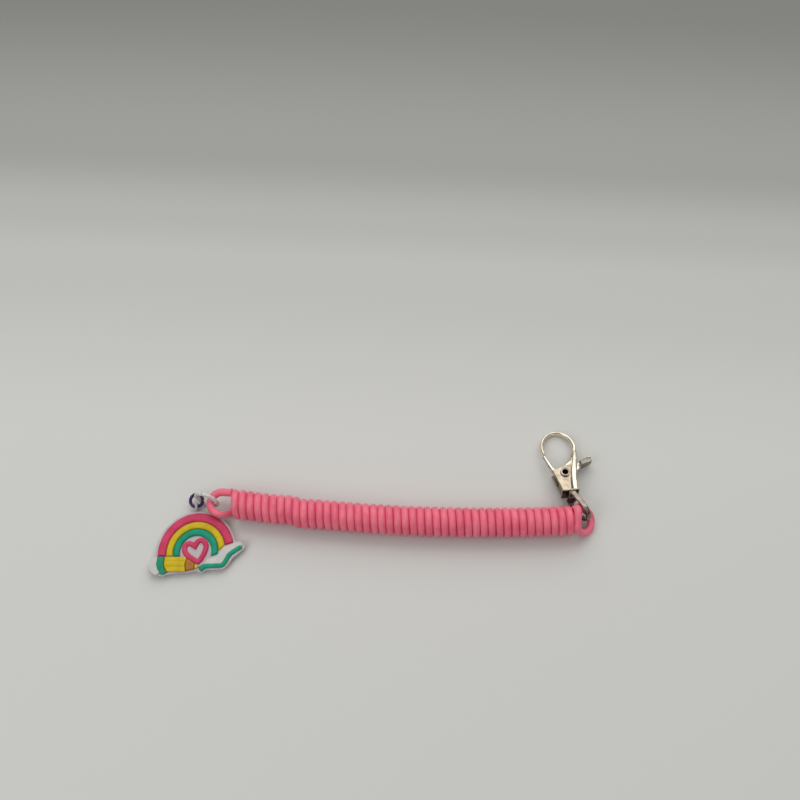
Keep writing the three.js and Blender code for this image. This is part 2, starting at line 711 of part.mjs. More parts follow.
function gateRivet() {
  const reach = BODY_THICKNESS / 2 + GAP;
  const [bore, shank, head] = [RIVET_BORE / 2, RIVET_DIAMETER / 2, RIVET_HEAD / 2];
  const top = reach + RIVET_HEAD_THICKNESS;
  const web = RIVET_WEB / 2;
  const profile = [
    [0, -web], [bore, -web], [bore, -top], [head, -top], [head, -reach], [shank, -reach],
    [shank, reach], [head, reach], [head, top], [bore, top], [bore, web], [0, web],
  ].map(([x, y]) => new THREE.Vector2(x, y));
  const rivet = new THREE.LatheGeometry(profile, 24).rotateX(Math.PI / 2);
  return named("gate_rivet", rivet, METAL);
}

// One turn of spring wire round the rivet, with a straight leg at each end
function gateSpring() {
  const steps = 16;
  const turn = Array.from({ length: steps + 1 }, (unused, i) => {
    const angle = (i / steps) * 2 * Math.PI;
    const out = new THREE.Vector3(Math.cos(angle), Math.sin(angle), 0);
    const rise = SPRING_OFFSET + (i / steps) * SPRING_PITCH;
    return { at: out.clone().multiplyScalar(SPRING_RADIUS).setZ(rise), out };
  });
  const [first, final] = [turn[0], turn[steps]];
  const legs = [first, final].map((step, i) => ({
    at: step.at.clone().add(new THREE.Vector3(0, i ? SPRING_LEG / 2 : -SPRING_LEG, 0)),
    out: step.out,
  }));
  const wire = [legs[0], ...turn, legs[1]];
  printGap("gate's spring", wire, SPRING_WIRE, 2 * SPRING_RADIUS);
  const geometry = tube(wire.map((step) => step.at), wire.map((step) => step.out), SPRING_WIRE / 2, CORD_SIDES);
  return named("gate_spring", geometry, METAL);
}

// The swivel's post hangs from the body, and its head holds the link
function swivelPost() {
  const low = -2 * SWIVEL_GAP - LINK_THICKNESS;
  const profile = [
    [0, low - POST_HEAD_THICKNESS], [POST_HEAD / 2, low - POST_HEAD_THICKNESS], [POST_HEAD / 2, low],
    [POST_DIAMETER / 2, low], [POST_DIAMETER / 2, POST_DEPTH], [0, POST_DEPTH],
  ].map(([x, y]) => new THREE.Vector2(x, y));
  return named("swivel_post", new THREE.LatheGeometry(profile, 24), METAL);
}

// The link: a strip bent to a D, whose flat top turns on the post
function linkOutline(inset) {
  const wide = LINK_WIDTH / 2 - inset;
  const round = -LINK_HEIGHT + LINK_WIDTH / 2;
  const shape = new THREE.Shape();
  shape.moveTo(wide, -inset);
  shape.lineTo(-wide, -inset);
  shape.lineTo(-wide, round);
  shape.absarc(0, round, wide, Math.PI, 2 * Math.PI, false);
  return shape;
}

function swivelLink() {
  const shape = linkOutline(0);
  shape.holes.push(linkOutline(LINK_THICKNESS));
  const strip = plate(shape, -LINK_STRIP / 2, LINK_STRIP / 2, 0, ARCH_SEGMENTS);
  const hole = tunnel(POST_DIAMETER / 2 + GAP + LINK_PLAY, 3 * LINK_THICKNESS);
  return named("swivel_link", geometryOf(solidOf(strip).subtract(solidOf(hole))), METAL);
}

// The way along the link or clasp, for its lean in plan and its slope
function wayOf(lean, slope) {
  const turn = radians(lean);
  return new THREE.Vector3(-Math.sin(turn) * Math.cos(slope), Math.cos(turn) * Math.cos(slope), -Math.sin(slope));
}

function framedAlong(position, way) {
  const across = way.clone().cross(UP).normalize();
  return framed(position, across, way, across.clone().cross(way));
}

// The clasp slopes down from the loop that holds it until its hook rests on the floor, and its swivel
// lets it lean less than its link
function claspGroups() {
  const seat = rightLoop.centre.clone().add(new THREE.Vector3(SEAT_SIDE, SEAT_BACK, SEAT_RISE));
  const reach = LINK_HEIGHT + SWIVEL_GAP + HOOK_CENTRE_UP + HOOK_HALF_HEIGHT;
  const slope = Math.asin((seat.z - HOOK_THICKNESS / 2) / reach);
  const [linkWay, claspWay] = [wayOf(LINK_LEAN, slope), wayOf(CLASP_LEAN, slope)];
  const link = framedAlong(seat.clone().addScaledVector(linkWay, LINK_HEIGHT), linkWay);
  link.rotateY(-radians(LINK_TURN));
  link.add(swivelLink());

  const pivot = seat.clone().addScaledVector(linkWay, LINK_HEIGHT - LINK_THICKNESS / 2);
  const clasp = framedAlong(pivot.addScaledVector(claspWay, LINK_THICKNESS / 2 + SWIVEL_GAP), claspWay);
  const rivet = new THREE.Group();
  rivet.position.set(RIVET_SIDE, RIVET_UP, 0);
  rivet.add(claspGate(), gateRivet(), gateSpring());
  clasp.add(claspBody(), swivelPost(), rivet);
  return [link, clasp];
}

// The origin is the middle of the whole part's footprint, on the floor
function centredOnFloor(pieces) {
  const root = new THREE.Group();
  root.add(...pieces);
  root.updateMatrixWorld(true);
  const middle = new THREE.Box3().setFromObject(root, true).getCenter(new THREE.Vector3());
  root.position.set(-middle.x, -middle.y, 0);
  return root;
}

export default centredOnFloor([coilCord(), coilEndLoop(), whiteRing(), purpleRing(), charm(), ...claspGroups()]);
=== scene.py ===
"""Dresses the knitting needle holder: soft coil cord, swivel clasp, two rings and a moulded charm."""
import json
import math

import bmesh
import bpy
from mathutils import Matrix, Vector, noise


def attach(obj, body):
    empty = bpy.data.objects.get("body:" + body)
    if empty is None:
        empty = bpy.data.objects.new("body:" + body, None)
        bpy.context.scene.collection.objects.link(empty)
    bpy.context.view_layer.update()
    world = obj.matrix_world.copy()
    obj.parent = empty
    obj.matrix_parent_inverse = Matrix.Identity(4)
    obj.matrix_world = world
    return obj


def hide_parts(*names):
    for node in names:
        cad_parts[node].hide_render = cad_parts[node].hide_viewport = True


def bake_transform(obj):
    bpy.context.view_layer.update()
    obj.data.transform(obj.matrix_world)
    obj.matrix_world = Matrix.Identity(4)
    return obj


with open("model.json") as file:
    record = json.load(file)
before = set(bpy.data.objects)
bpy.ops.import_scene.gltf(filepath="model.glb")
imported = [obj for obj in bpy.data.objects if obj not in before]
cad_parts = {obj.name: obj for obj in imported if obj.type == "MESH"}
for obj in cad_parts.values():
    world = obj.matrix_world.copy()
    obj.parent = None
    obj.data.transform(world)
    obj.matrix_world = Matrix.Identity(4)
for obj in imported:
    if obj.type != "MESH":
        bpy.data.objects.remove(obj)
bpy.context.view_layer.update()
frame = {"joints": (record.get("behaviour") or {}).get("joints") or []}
JOINTS = {joint["name"]: joint for joint in frame["joints"]}

MM = 0.001
X = Vector((1, 0, 0))
Y = Vector((0, 1, 0))
Z = Vector((0, 0, 1))


def joint_at(name):
    """Where a joint of the frame lies, in millimetres."""
    return Vector([c / MM for c in JOINTS[name]["pos_m"]])


# The photograph's view
PHOTO_PX = 800
FOCAL_PX = 1000
SENSOR_MM = 36
NEAREST_SEEN = 0.01
VIEW_AT = Vector((16.082, -145.805, 327.884))
VIEW_FORWARD = Vector((-0.0270, 0.4993, -0.8660))
VIEW_RIGHT = Vector((0.99854, 0.05408, 0))

# Coil cord, with the middle of its coil at COIL_MIDDLE in the part's frame
COIL_MIDDLE = Vector((9.3334, -4.9602, 0))
CORD_RADIUS = 1.345
CORD_SIDES = 18
CORD_CAP = 0.5
CORD_CAP_STEPS = 4
COIL_RADIUS = 3.96
COIL_HEIGHT = 5.3
TURNS = 44.25
PITCH = 2.705
COIL_HALF = TURNS * PITCH / 2
TURN_STEPS = 32
BOW = 3.25
SLIP = 0.45
SLIP_PLACE = -37
SLIP_WIDTH = 2.7
UNEVEN = 0.05
UNEVEN_RATE = 0.9

# End loops: how they lean, where they start and stop, and how they join the turns
LOOP_RADIUS = 4.05
SOLID_LOOP_RADIUS = 4.275
LOOP_HEIGHT = 5.175
LOOP_STEPS = 40
LEAN = math.radians(66.4)
LEFT_RISE = math.radians(6)
LEFT_TUCK = 0.5
LEFT_ANGLES = (25, 184)
LEFT_TIP = 3.1
RIGHT_DOOR = math.radians(38)
RIGHT_TUCK = 0.3
RIGHT_ANGLES = (-30, 162)
RIGHT_TIP = 3.3
RIGHT_SPREAD = 1.5
TIP_STEPS = 6
SPLICE_HEIGHT = 0.6
SPLICE_REACH = 0.75
SPLICE_STRAIGHT = 2.4
BEND_PINCH = 0.16
BEND_STEPS = 16

# Melted edge where the left loop's tip meets the first turn
MELTED_BEADS = 7
MELTED_BACK = 0.3
MELTED_REACH = 100
MELTED_SINK = 0.1
MELTED_STRAY = 0.5
BEAD_RADIUS = 0.42
BEAD_VARIES = 0.22
BEAD_LUMPS = 0.6
BEAD_POLE = 0.02

# Rings, each in the frame of its solid
RING_STEPS = 96
RING_SIDES = 20
RING_CAP = 0.12
RING_CAP_STEPS = 3
WHITE_AT = Vector((-59.912, -3.670, 4.7))
WHITE_TURN = math.radians(-15.8)
WHITE_RADIUS = 4.0
WHITE_WIRE = 0.7
WHITE_SPLIT = 105
WHITE_GAP = 0.35
PURPLE_AT = joint_at("purple_ring_swing")
PURPLE_TILT = math.radians(17)
PURPLE_LEAN = math.radians(-109.5)
PURPLE_RADIUS = 2.25
PURPLE_WIRE = 0.56
PURPLE_SPLIT = 0
PURPLE_GAP = 0.3

# Charm, with its arch's centre at its own origin. An arc here is its start, its end and its steps
CHARM_AT = Vector((-61.297, -22.520, 0))
CHARM_TURN = math.radians(3.1)
CHARM_TOP = 2.2
CHARM_BORDER = 0.8
BORDER_ARC = (17, 184, 60)
UNDERCUT = 0.85
UNDERCUT_HEIGHT = 1.8
CHARM_ROUNDING = 0.45
ARCH_RISE = 1.11
RELIEF = 0.8
RELIEF_ROOT = 0.3
SQUARISH = 2.6
ERASER_MIDDLE = (-12.2, -5)
ERASER_BORDER = 3.6
ERASER_BORDER_ARC = (125, 255, 20)

# The charm's lower edge from the pencil to the page's corner: a point, or the ends and control of a curve
LOWER_EDGE = (
    ((-10.2, -8.9), (-9.3, -8.1), (-7.5, -7.9)),
    ((-2.6, -7.6),),
    ((0.9, -6.9), (2.4, -8.2), (4.2, -6.5)),
    ((9.6, -6.3), (11, -6), (12.9, -2.2)),
    ((16.4, 0.9), (17.8, 2.4), (16.2, 4.3)),
)

# Rainbow: each band's outer and inner radius, and the angles of its right end at these
PINK_RADIUS = 13.1
BANDS = {
    "rainbow_pink": (PINK_RADIUS, 10.17),
    "rainbow_yellow": (10.13, 7.77),
    "rainbow_green": (7.73, 5.4),
}
BAND_ENDS = {"rainbow_pink": (14, 13), "rainbow_yellow": (13, 4), "rainbow_green": (-4, -14)}
BAND_FOOT = -1.6
BAND_LENGTH = 3
BAND_END = 0.4
BAND_END_LEAST = 0.03
BAND_END_POWER = 0.4
BAND_CROWN_POWER = 3.2
BAND_EDGE = 0.06
BAND_ROOT = 0.2
# Painted shade: a dark line laid along each groove between two bands
GROOVE_SHADE_ENDS = {"groove_shade_outer": 13.5, "groove_shade_inner": 4.5}
GROOVE_SHADE_FOOT = 186
GROOVE_SHADE_STEPS = 70
GROOVE_SHADE_RISE = 0.2
GROOVE_SHADE_WIDTH = 0.34
GROOVE_SHADE_HEIGHT = 0.3

# Heart, whose right half is drawn in shares of half its width and of its height
HEART_FORM = ((0, -0.5), (0.55, -0.28), (1, 0), (1, 0.2), (1, 0.56), (0.25, 0.6), (0, 0.22))
HEART_WIDTH = 8.964
HEART_HEIGHT = 9.746
HEART_LINE = 1.5
HEART_TIP_LINES = 1.3
HEART_SWELL = 0.3
HEART_TURN = math.radians(17)
HEART_TIP = Vector((1.6, -4.6, 0))

# Pencil, from its eraser to its point
ERASER_RADIUS = 3.45
ERASER_ARC = (106, 268, 24)
ERASER_UNDER_FERRULE = [(-11.6, -7.4), (-12.4, -5.8), (-12.6, -4.2)]
FERRULE = [
    (-12.9, -1.9), (-13.2, -4.4), (-12.6, -6.4), (-11.4, -7.9), (-10.1, -8.2), (-9.3, -7.6),
    (-10.3, -6.1), (-10.7, -4), (-10.45, -1.9),
]
BARREL_EDGES = ((-1.95, -10.15, -3.15), (-3.4, -10.4, -3.1), (-5.3, -10.2, -3.2), (-7.15, -9.1, -2.85))
BARREL_CORNERS = ([(-2.85, -2.45)], [(-3.35, -4.5)], [])
BARREL_DROPS = (0.06, 0, 0.06)
ERASER_DROP = 0.12
WOOD_DROP = 0.05
POINT_DROP = 0.1
PENCIL_GAP_SHADE_RELIEF = 0.35
WOOD = [
    (-2.45, -2.5), (0.05, -4.2), (-0.15, -5.3), (0.05, -6.3), (-2.5, -6.85), (-2.95, -5.4), (-3, -4.1),
    (-2.8, -3.2),
]
POINT = [(0.3, -4.45), (1.7, -5.4), (0.35, -6.15), (0.1, -5.3)]
# Painted shade: lower patches in darker ochre in the gaps between the pencil's parts
FERRULE_GAP_SHADE = [
    (-10.9, -2.1), (-10, -2.1), (-9.9, -4), (-9.4, -6), (-8.7, -7.3), (-9.6, -7.5), (-10.6, -6.2),
    (-11, -4),
]
WOOD_GAP_SHADE = [(-3.5, -2.15), (-2.3, -2.6), (-2.6, -4.5), (-2.3, -6.9), (-3.3, -7.1)]
POINT_GAP_SHADE = [(-0.5, -4.3), (0.6, -4.75), (0.6, -5.9), (-0.5, -6.3)]

# Page and the line under it
PAGE_RELIEF = 0.4
PAGE = [
    (3.1, -4.6), (4.2, -2.5), (6.2, -1.9), (7.6, -1.3), (9.4, 2), (12.2, 2.9), (13.7, 3.7), (15.6, 3.7),
    (15.9, 2.9), (15.4, 1.8), (13.4, 0.5), (11.6, -1.1), (10.2, -4.1), (9.1, -4.9), (6.4, -5), (3.9, -5.2),
]
PAGE_LINE = [
    (2.3, -6.2), (3.7, -5.2), (6.4, -5), (9.1, -4.85), (10.2, -4), (11.6, -1.1), (13.4, 0.5), (15.3, 1.75),
]
PAGE_LINE_WIDTHS = (2.05, 1.6)
PAGE_LINE_NARROWS = 0.25
PAGE_LINE_CAP = 0.5

# Charm's eyelet and the foot that carries it
EYELET_MIDDLE = Vector((-1.376, 17.062, 0))
EYELET_RADIUS = 1.25
EYELET_WIRE = 0.45
EYELET_STEPS = 40
EYELET_SIDES = 14
EYELET_HEIGHT = 2.05
EYELET_TURN = math.radians(5.55)
FOOT_BACK = 1.5
FOOT_ROUTE = ((0, 1.15), (0.9, 1.2), (1.6, 1.35))
FOOT_WIDTHS = (1.8, 1.2)
FOOT_DEPTHS = (1.5, 1.0)
FOOT_CAP = 0.2

# Clasp, with its swivel's seat at its own origin
CLASP_AT = joint_at("clasp_swivel")
CLASP_ALONG = Vector(JOINTS["clasp_swivel"]["axis"])
CLASP_ACROSS = Vector((0.98769, 0.15643, 0))
BAR_SIDES = 18

# Clasp body: a plate over a lining on each side, and at the base a seat, a collar and a foot
PLATE = [
    (-2.75, 0.65), (0.45, 0.65), (0.7, 3), (1.15, 6), (1.75, 9), (2.3, 11.1), (1.2, 11.05), (-1, 10.55),
    (-4.7, 9.3),
]
PLATE_THICK = 0.55
PLATE_LEVELS = (-2.35, 1.8)
LINING = [
    (-2.7, 0.5), (2.3, 0.5), (2.9, 6), (3.5, 9), (4.2, 12), (3, 12.4), (1.9, 11.6), (-1, 10.5), (-4.6, 9.2),
]
LINING_THICK = 0.45
LINING_LEVELS = (-1.95, 1.5)
SEAT = [(-2.7, 0.3), (2.6, 0.3), (3.0, 4.3), (-3.2, 4.3)]
SEAT_HALF = 1.9
BASE_COLLAR = [(-3.05, 0.15), (3.05, 0.15), (3.1, 0.75), (-3.1, 0.75)]
BASE_COLLAR_HALF = 2.6
BASE_FOOT = [(-2.85, -0.05), (2.85, -0.05), (2.85, 0.4), (-2.85, 0.4)]
BASE_FOOT_HALF = 2.45

# The crest along the body's right edge, as stations from the base to the hook
CREST = [(1.75, 0.6), (2.0, 3), (2.4, 6), (3.0, 9), (3.75, 12), (4.4, 14.4), (4.95, 16.6), (5.35, 18.8)]
CREST_LIFTS = (1.2, 1.2, 1.2, 1.15, 0.9, 0.65, 0.4, 0.15)
CREST_HALVES = (1.05, 1.08, 1.12, 1.14, 1.06, 0.92, 0.8, 0.5)
CREST_HEIGHTS = (1.4, 1.4, 1.4, 1.4, 1.25, 1.1, 0.95, 0.8)
CREST_FEET = (0.3, 0.6, 1.3, 1.3, 1.3, 1.15, -0.2, -0.3)
CREST_SECTION = (
    (0.5, -1), (0.72, -0.92), (0.92, -0.6), (0.98, -0.25), (1, 0.15), (0.97, 0.5), (0.82, 0.8),
    (0.45, 0.97),
)

# Shoulder from the body's top into the hook, on each side
SHOULDER = [(-1.6, 10.25), (0.4, 10.8), (2.1, 12.1), (3.2, 14), (4.05, 16.3)]
SHOULDER_WIDTHS = (0.8, 1.2, 1.5, 1.3, 0.8)
SHOULDER_DEPTHS = (1.0, 1.0, 1.0, 1.0, 0.8)
SHOULDER_LIFTS = (1.78, 1.78, 1.7, 1.25, 0.65)

# Hook: an oval arc whose bar gets thinner towards its tip
HOOK_MIDDLE = Vector((-0.45, 19.8, 0))
HOOK_WIDTH = 6.5
HOOK_HEIGHT = 7.4
HOOK_INSET = 0.6
HOOK_ARC = (-34, 198)
HOOK_POINTS = 16
HOOK_ROOT = (4.35, 13.9)
HOOK_WIDTHS = [2.1, 1.7, 1.5, 1.42, 1.36, 1.3, 1.2, 1.1] + [1.05] * 7 + [0.95]
HOOK_DEPTHS = [2.5, 2.4] + [2.2] * 12 + [2.0, 1.8]

# Hollow rivet: its half from the outside to the middle, as radius and depth under its end
RIVET = Vector((-0.48, 7.73, 0))
RIVET_END = 2.92
RIVET_HALF = [(1.06, 0.25), (1.12, 0.03), (1.4, -0.02), (1.7, 0.08), (1.8, 0.3), (1.3, 0.5)]
RIVET_HOLE = 1.2
RIVET_HOLE_END = 4
RIVET_WEB = 0.5
BORE_RADII = (1.07, 1.04)
BORE_SUNK = 0.24
AXIS_HOLE = 0.01

# Gate spring round the rivet
SPRING_RADIUS = 1.85
SPRING_WIRE = 0.3
SPRING_START = 0.35
SPRING_PITCH = 0.75
SPRING_STEPS = 64
SPRING_SIDES = 10
SPRING_TAILS = (2.2, 1.1)

# Gate: lever, its rod into the hook, and the thumb tab
LEVER = [
    (-4.6, 10.1), (-2.7, 6.9), (-1.6, 5.7), (-0.48, 5.4), (0.8, 5.75), (1.8, 7.1), (5.2, 10.3), (7, 11.4),
    (7, 13.2), (5, 12.8), (0.8, 9.95), (-0.9, 10.05), (-3.2, 10.7),
]
LEVER_LEVELS = (-1.25, -0.05)
ROD = [(-3.1, 8.8), (-4.15, 10.7), (-5.2, 13.7), (-6.2, 16.75)]
ROD_WIDTHS = (1.8, 1.75, 1.65, 1.35)
ROD_DEPTHS = (1.9, 1.9, 1.9, 1.8)
COLLAR = [(-3.85, 10.1), (-4.3, 11.1)]
COLLAR_WIDTHS = (2.0, 1.95)
COLLAR_DEPTHS = (2.2, 2.2)
THUMB = [(6.2, 10.9), (9.6, 12.35), (10.5, 12.9), (10.55, 13.5), (10, 14.05), (9, 14), (6, 13)]
THUMB_HALF = 1.5
THUMB_LIP = [(8.8, 12.05), (9.9, 12.55), (10.45, 13.2), (10.1, 13.95), (8.8, 13.85)]
THUMB_EDGE = [(6.3, 11.1), (8.8, 12.15)]

# Swivel pin and link
SWIVEL_GAP = 0.65
PIN_RADIUS = 1.0
PIN_IN_SEAT = 1.8
PIN_HEAD = [(1.65, 0), (1.8, 0.15), (1.8, 0.5), (1.4, 0.8), (0.02, 0.8)]
PIN_AXIS_HOLE = 0.02
LINK_AT = Vector((68.114, 4.513, 5.132))
LINK_ALONG = Vector((-0.55330, 0.82030, -0.14479))
LINK_ACROSS = Vector((-0.02294, 0.15875, 0.98705))
LINK_WIDTH = 8.2
LINK_HEIGHT = 11
LINK_STRIP = 1.8
LINK_THICK = 0.9
LINK_CORNER = 0.9
LINK_CORNER_ANGLES = (0.4, 0.8, 1.2)
LINK_CORNER_END = 0.1
LINK_BOW_STEPS = 14
LINK_SIDES = 24

# Materials: spans of noise, then each look's two tones, with a metal's least and most roughness or a
# plastic's specks
TONE_SPAN = (0.35, 0.65)
ROUGHNESS_SPAN = (0.3, 0.7)
SPECK_SPAN = (0.72, 0.78)
SHARP_ANGLE = math.radians(40)
NICKELS = {
    "nickel": ((196, 190, 178), (232, 228, 218), 0.14, 0.3),
    # darker copy of the plating for the body's faces: painted shade
    "nickel_painted_face_shade": ((168, 155, 136), (204, 190, 168), 0.3, 0.42),
    # brighter copy for the crest, shoulders and hook: painted highlight
    "nickel_painted_highlight": ((222, 210, 190), (248, 238, 218), 0.18, 0.32),
    # darkened copy for the foot under the body and the swivel pin: painted shade and dark reflection
    "nickel_painted_shade": ((70, 66, 62), (112, 106, 100), 0.2, 0.36),
    # darker copy for the thumb tab: painted dark reflection
    "nickel_painted_reflection": ((122, 115, 105), (150, 142, 131), 0.24, 0.36),
    # dimmer copy for the rivet and the link: painted shade
    "nickel_dim_painted_shade": ((118, 106, 96), (166, 154, 142), 0.12, 0.24),
    # near-black copy inside the rivet's bore: painted shade
    "nickel_painted_bore_shade": ((14, 11, 12), (30, 25, 26), 0.5, 0.7),
}
SOFT_PLASTICS = {
    "charm_white": ((196, 194, 189), (206, 205, 200)),
    # greyer copy of the charm's white for the plate: painted shade
    "charm_shade": ((184, 174, 176), (196, 187, 188)),
    "charm_pink": ((196, 50, 90), (212, 62, 104), (130, 30, 64)),
    "charm_yellow": ((198, 170, 10), (214, 190, 18), (140, 120, 20)),
    "charm_green": ((2, 138, 106), (6, 156, 122), (4, 92, 74)),
    "charm_wood": ((164, 106, 34), (182, 122, 44), (122, 76, 26)),
    # dark lines in the grooves between bands: painted shade
    "groove_shade_red": ((132, 42, 44), (150, 52, 50)),
    "groove_shade_green": ((34, 90, 44), (44, 104, 50)),
    # darker ochre in the gaps between the pencil's parts: painted shade
    "gap_shade_ochre": ((118, 82, 28), (136, 96, 32)),
}

# Stage: the floor's tones from the front to the back, and the sky's from below to above
FLOOR_SIZE = 4
FLOOR_SPAN = (0.02, 0.28)
FLOOR_TONES = (
    (0, (210, 210, 206)), (0.33, (194, 194, 191)), (0.42, (183, 183, 180)), (0.56, (160, 160, 157)),
    (1, (126, 126, 123)),
)
SKY_TONES = ((0, (0.10, 0.095, 0.09, 1)), (0.45, (0.42, 0.42, 0.42, 1)), (0.9, (1, 1, 1, 1)))
SKY_STRENGTH = 0.65
BACKDROP = (190, 190, 187)


def blend(a, b, share):
    return a + (b - a) * share


def on_circle(share):
    """Sine and cosine of a share of a full turn."""
    angle = 2 * math.pi * share
    return math.sin(angle), math.cos(angle)


# Shader nodes, of a material or of the world

def colour(r, g, b):
    """A colour written as it looks on a screen, 0 to 255."""
    linear = [(c / 255 / 12.92) if c < 11 else ((c / 255 + 0.055) / 1.055) ** 2.4 for c in (r, g, b)]
    return (*linear, 1)


def node(owner, kind, **values):
    made = owner.node_tree.nodes.new(kind)
    for key, value in values.items():
        setattr(made, key, value)
    return made


def link(owner, a, a_socket, b, b_socket):
    owner.node_tree.links.new(a.outputs[a_socket], b.inputs[b_socket])


def tone_ramp(owner, stops):
    """A colour ramp from stops of (place, colour), in rising order."""
    made = node(owner, "ShaderNodeValToRGB")
    elements = made.color_ramp.elements
    for element, (place, tone) in ((elements[0], stops[0]), (elements[1], stops[-1])):
        element.position = place
        element.color = tone
    for place, tone in stops[1:-1]:
        elements.new(place).color = tone
    return made


def map_range(owner, source, socket, span, to=(0, 1)):
    """The source's value, spread from one span to another."""
    made = node(owner, "ShaderNodeMapRange")
    for name, value in zip(("From Min", "From Max", "To Min", "To Max"), span + to):
        made.inputs[name].default_value = value
    link(owner, source, socket, made, "Value")
    return made


def speckle(material, scale, detail=4.0, stretch=(1, 1, 1)):
    """A noise texture in the piece's own coordinates, in metres."""
    place = node(material, "ShaderNodeTexCoord")
    mapping = node(material, "ShaderNodeMapping")
    mapping.inputs["Scale"].default_value = stretch
    cloud = node(material, "ShaderNodeTexNoise")
    cloud.inputs["Scale"].default_value = scale
    cloud.inputs["Detail"].default_value = detail
    link(material, place, "Object", mapping, "Vector")
    link(material, mapping, "Vector", cloud, "Vector")
    return cloud


# Materials

def shader_of(material):
    return material.node_tree.nodes["Principled BSDF"]


def new_material(name, tint, rough, metallic=0.0):
    material = bpy.data.materials.new(name)
    material.use_nodes = True
    shader = shader_of(material)
    shader.inputs["Base Color"].default_value = tint
    shader.inputs["Roughness"].default_value = rough
    shader.inputs["Metallic"].default_value = metallic
    return material


def vary_colour(material, low, high, scale):
    tones = tone_ramp(material, ((TONE_SPAN[0], low), (TONE_SPAN[1], high)))
    link(material, speckle(material, scale), "Fac", tones, "Fac")
    link(material, tones, "Color", shader_of(material), "Base Color")


def vary_roughness(material, low, high, scale, stretch=(1, 1, 1)):
    cloud = speckle(material, scale, 6.0, stretch)
    spread = map_range(material, cloud, "Fac", ROUGHNESS_SPAN, (low, high))
    link(material, spread, "Result", shader_of(material), "Roughness")


def add_bump(material, scale, strength, depth, stretch=(1, 1, 1)):
    """Fine unevenness on top of what is there: depth is its height in millimetres."""
    shader = shader_of(material)
    bump = node(material, "ShaderNodeBump")
    bump.inputs["Strength"].default_value = strength
    bump.inputs["Distance"].default_value = depth * MM
    link(material, speckle(material, scale, 5.0, stretch), "Fac", bump, "Height")
    before = shader.inputs["Normal"].links
    if before:
        material.node_tree.links.new(before[0].from_socket, bump.inputs["Normal"])
    link(material, bump, "Normal", shader, "Normal")


def add_specks(material, dark, scale=1500):
    """A few fine dark specks in the colour."""
    shader = shader_of(material)
    before = shader.inputs["Base Color"].links[0].from_socket
    spots = map_range(material, speckle(material, scale, 1.0), "Fac", SPECK_SPAN)
    mix = node(material, "ShaderNodeMix", data_type="RGBA")
    mix.inputs["B"].default_value = dark
    material.node_tree.links.new(spots.outputs["Result"], mix.inputs["Factor"])
    material.node_tree.links.new(before, mix.inputs["A"])
    material.node_tree.links.new(mix.outputs["Result"], shader.inputs["Base Color"])


def let_light_in(material, weight, radius, depth):
    """Lets some light into the plastic, to about a depth in millimetres, for each colour by its radius."""
    shader = shader_of(material)
    shader.inputs["Subsurface Weight"].default_value = weight
    shader.inputs["Subsurface Radius"].default_value = radius
    shader.inputs["Subsurface Scale"].default_value = depth * MM


def soft_plastic(name, low, high, speck=None):
    """Moulded soft plastic, whose skin is faintly uneven."""
    material = new_material(name, colour(*high), rough=0.42)
    shader_of(material).inputs["Specular IOR Level"].default_value = 0.3
    let_light_in(material, weight=0.12, radius=(0.6, 0.5, 0.5), depth=0.8)
    vary_colour(material, colour(*low), colour(*high), scale=260)
    if speck:
        add_specks(material, colour(*speck))
    vary_roughness(material, low=0.36, high=0.52, scale=900)
    add_bump(material, scale=2600, strength=0.25, depth=0.04)
    add_bump(material, scale=320, strength=0.2, depth=0.2)
    return material


def cord_plastic():
    material = new_material("cord_pink", colour(243, 116, 140), rough=0.36)
    let_light_in(material, weight=0.3, radius=(1.0, 0.32, 0.36), depth=1.2)
    vary_colour(material, colour(236, 104, 130), colour(248, 126, 148), scale=180)
    vary_roughness(material, low=0.32, high=0.5, scale=700)
    add_bump(material, scale=1500, strength=0.25, depth=0.05)
    add_bump(material, scale=240, strength=0.25, depth=0.3)
    return material


def nickel(name, low, high, smoothest, roughest):
    """Plated metal, faintly brushed along the clasp."""
    material = new_material(name, colour(*high), smoothest, metallic=1.0)
    vary_colour(material, colour(*low), colour(*high), scale=420)
    vary_roughness(material, smoothest, roughest, scale=800, stretch=(1, 1, 4))
    add_bump(material, scale=620, strength=0.12, depth=0.1)
    add_bump(material, scale=5200, strength=0.1, depth=0.01, stretch=(1, 6, 1))
    return material


def coated(name, low, high, rough, metallic):
    """Coated wire."""
    material = new_material(name, colour(*high), rough, metallic)
    vary_colour(material, colour(*low), colour(*high), scale=700)
    vary_roughness(material, rough - 0.08, rough + 0.12, scale=1400)
    add_bump(material, scale=900, strength=0.3, depth=0.08)
    return material


MATERIALS = {
    "cord": cord_plastic(),
    "white_ring": coated("ring_coating", (196, 192, 186), (226, 224, 219), rough=0.34, metallic=0.0),
    "purple_ring": coated("ring_purple", (44, 14, 62), (84, 36, 108), rough=0.26, metallic=0.45),
}
MATERIALS.update({name: nickel(name, *look) for name, look in NICKELS.items()})
MATERIALS.update({name: soft_plastic(name, *look) for name, look in SOFT_PLASTICS.items()})


# Mesh building, in millimetres: a skin is its vertices and its faces

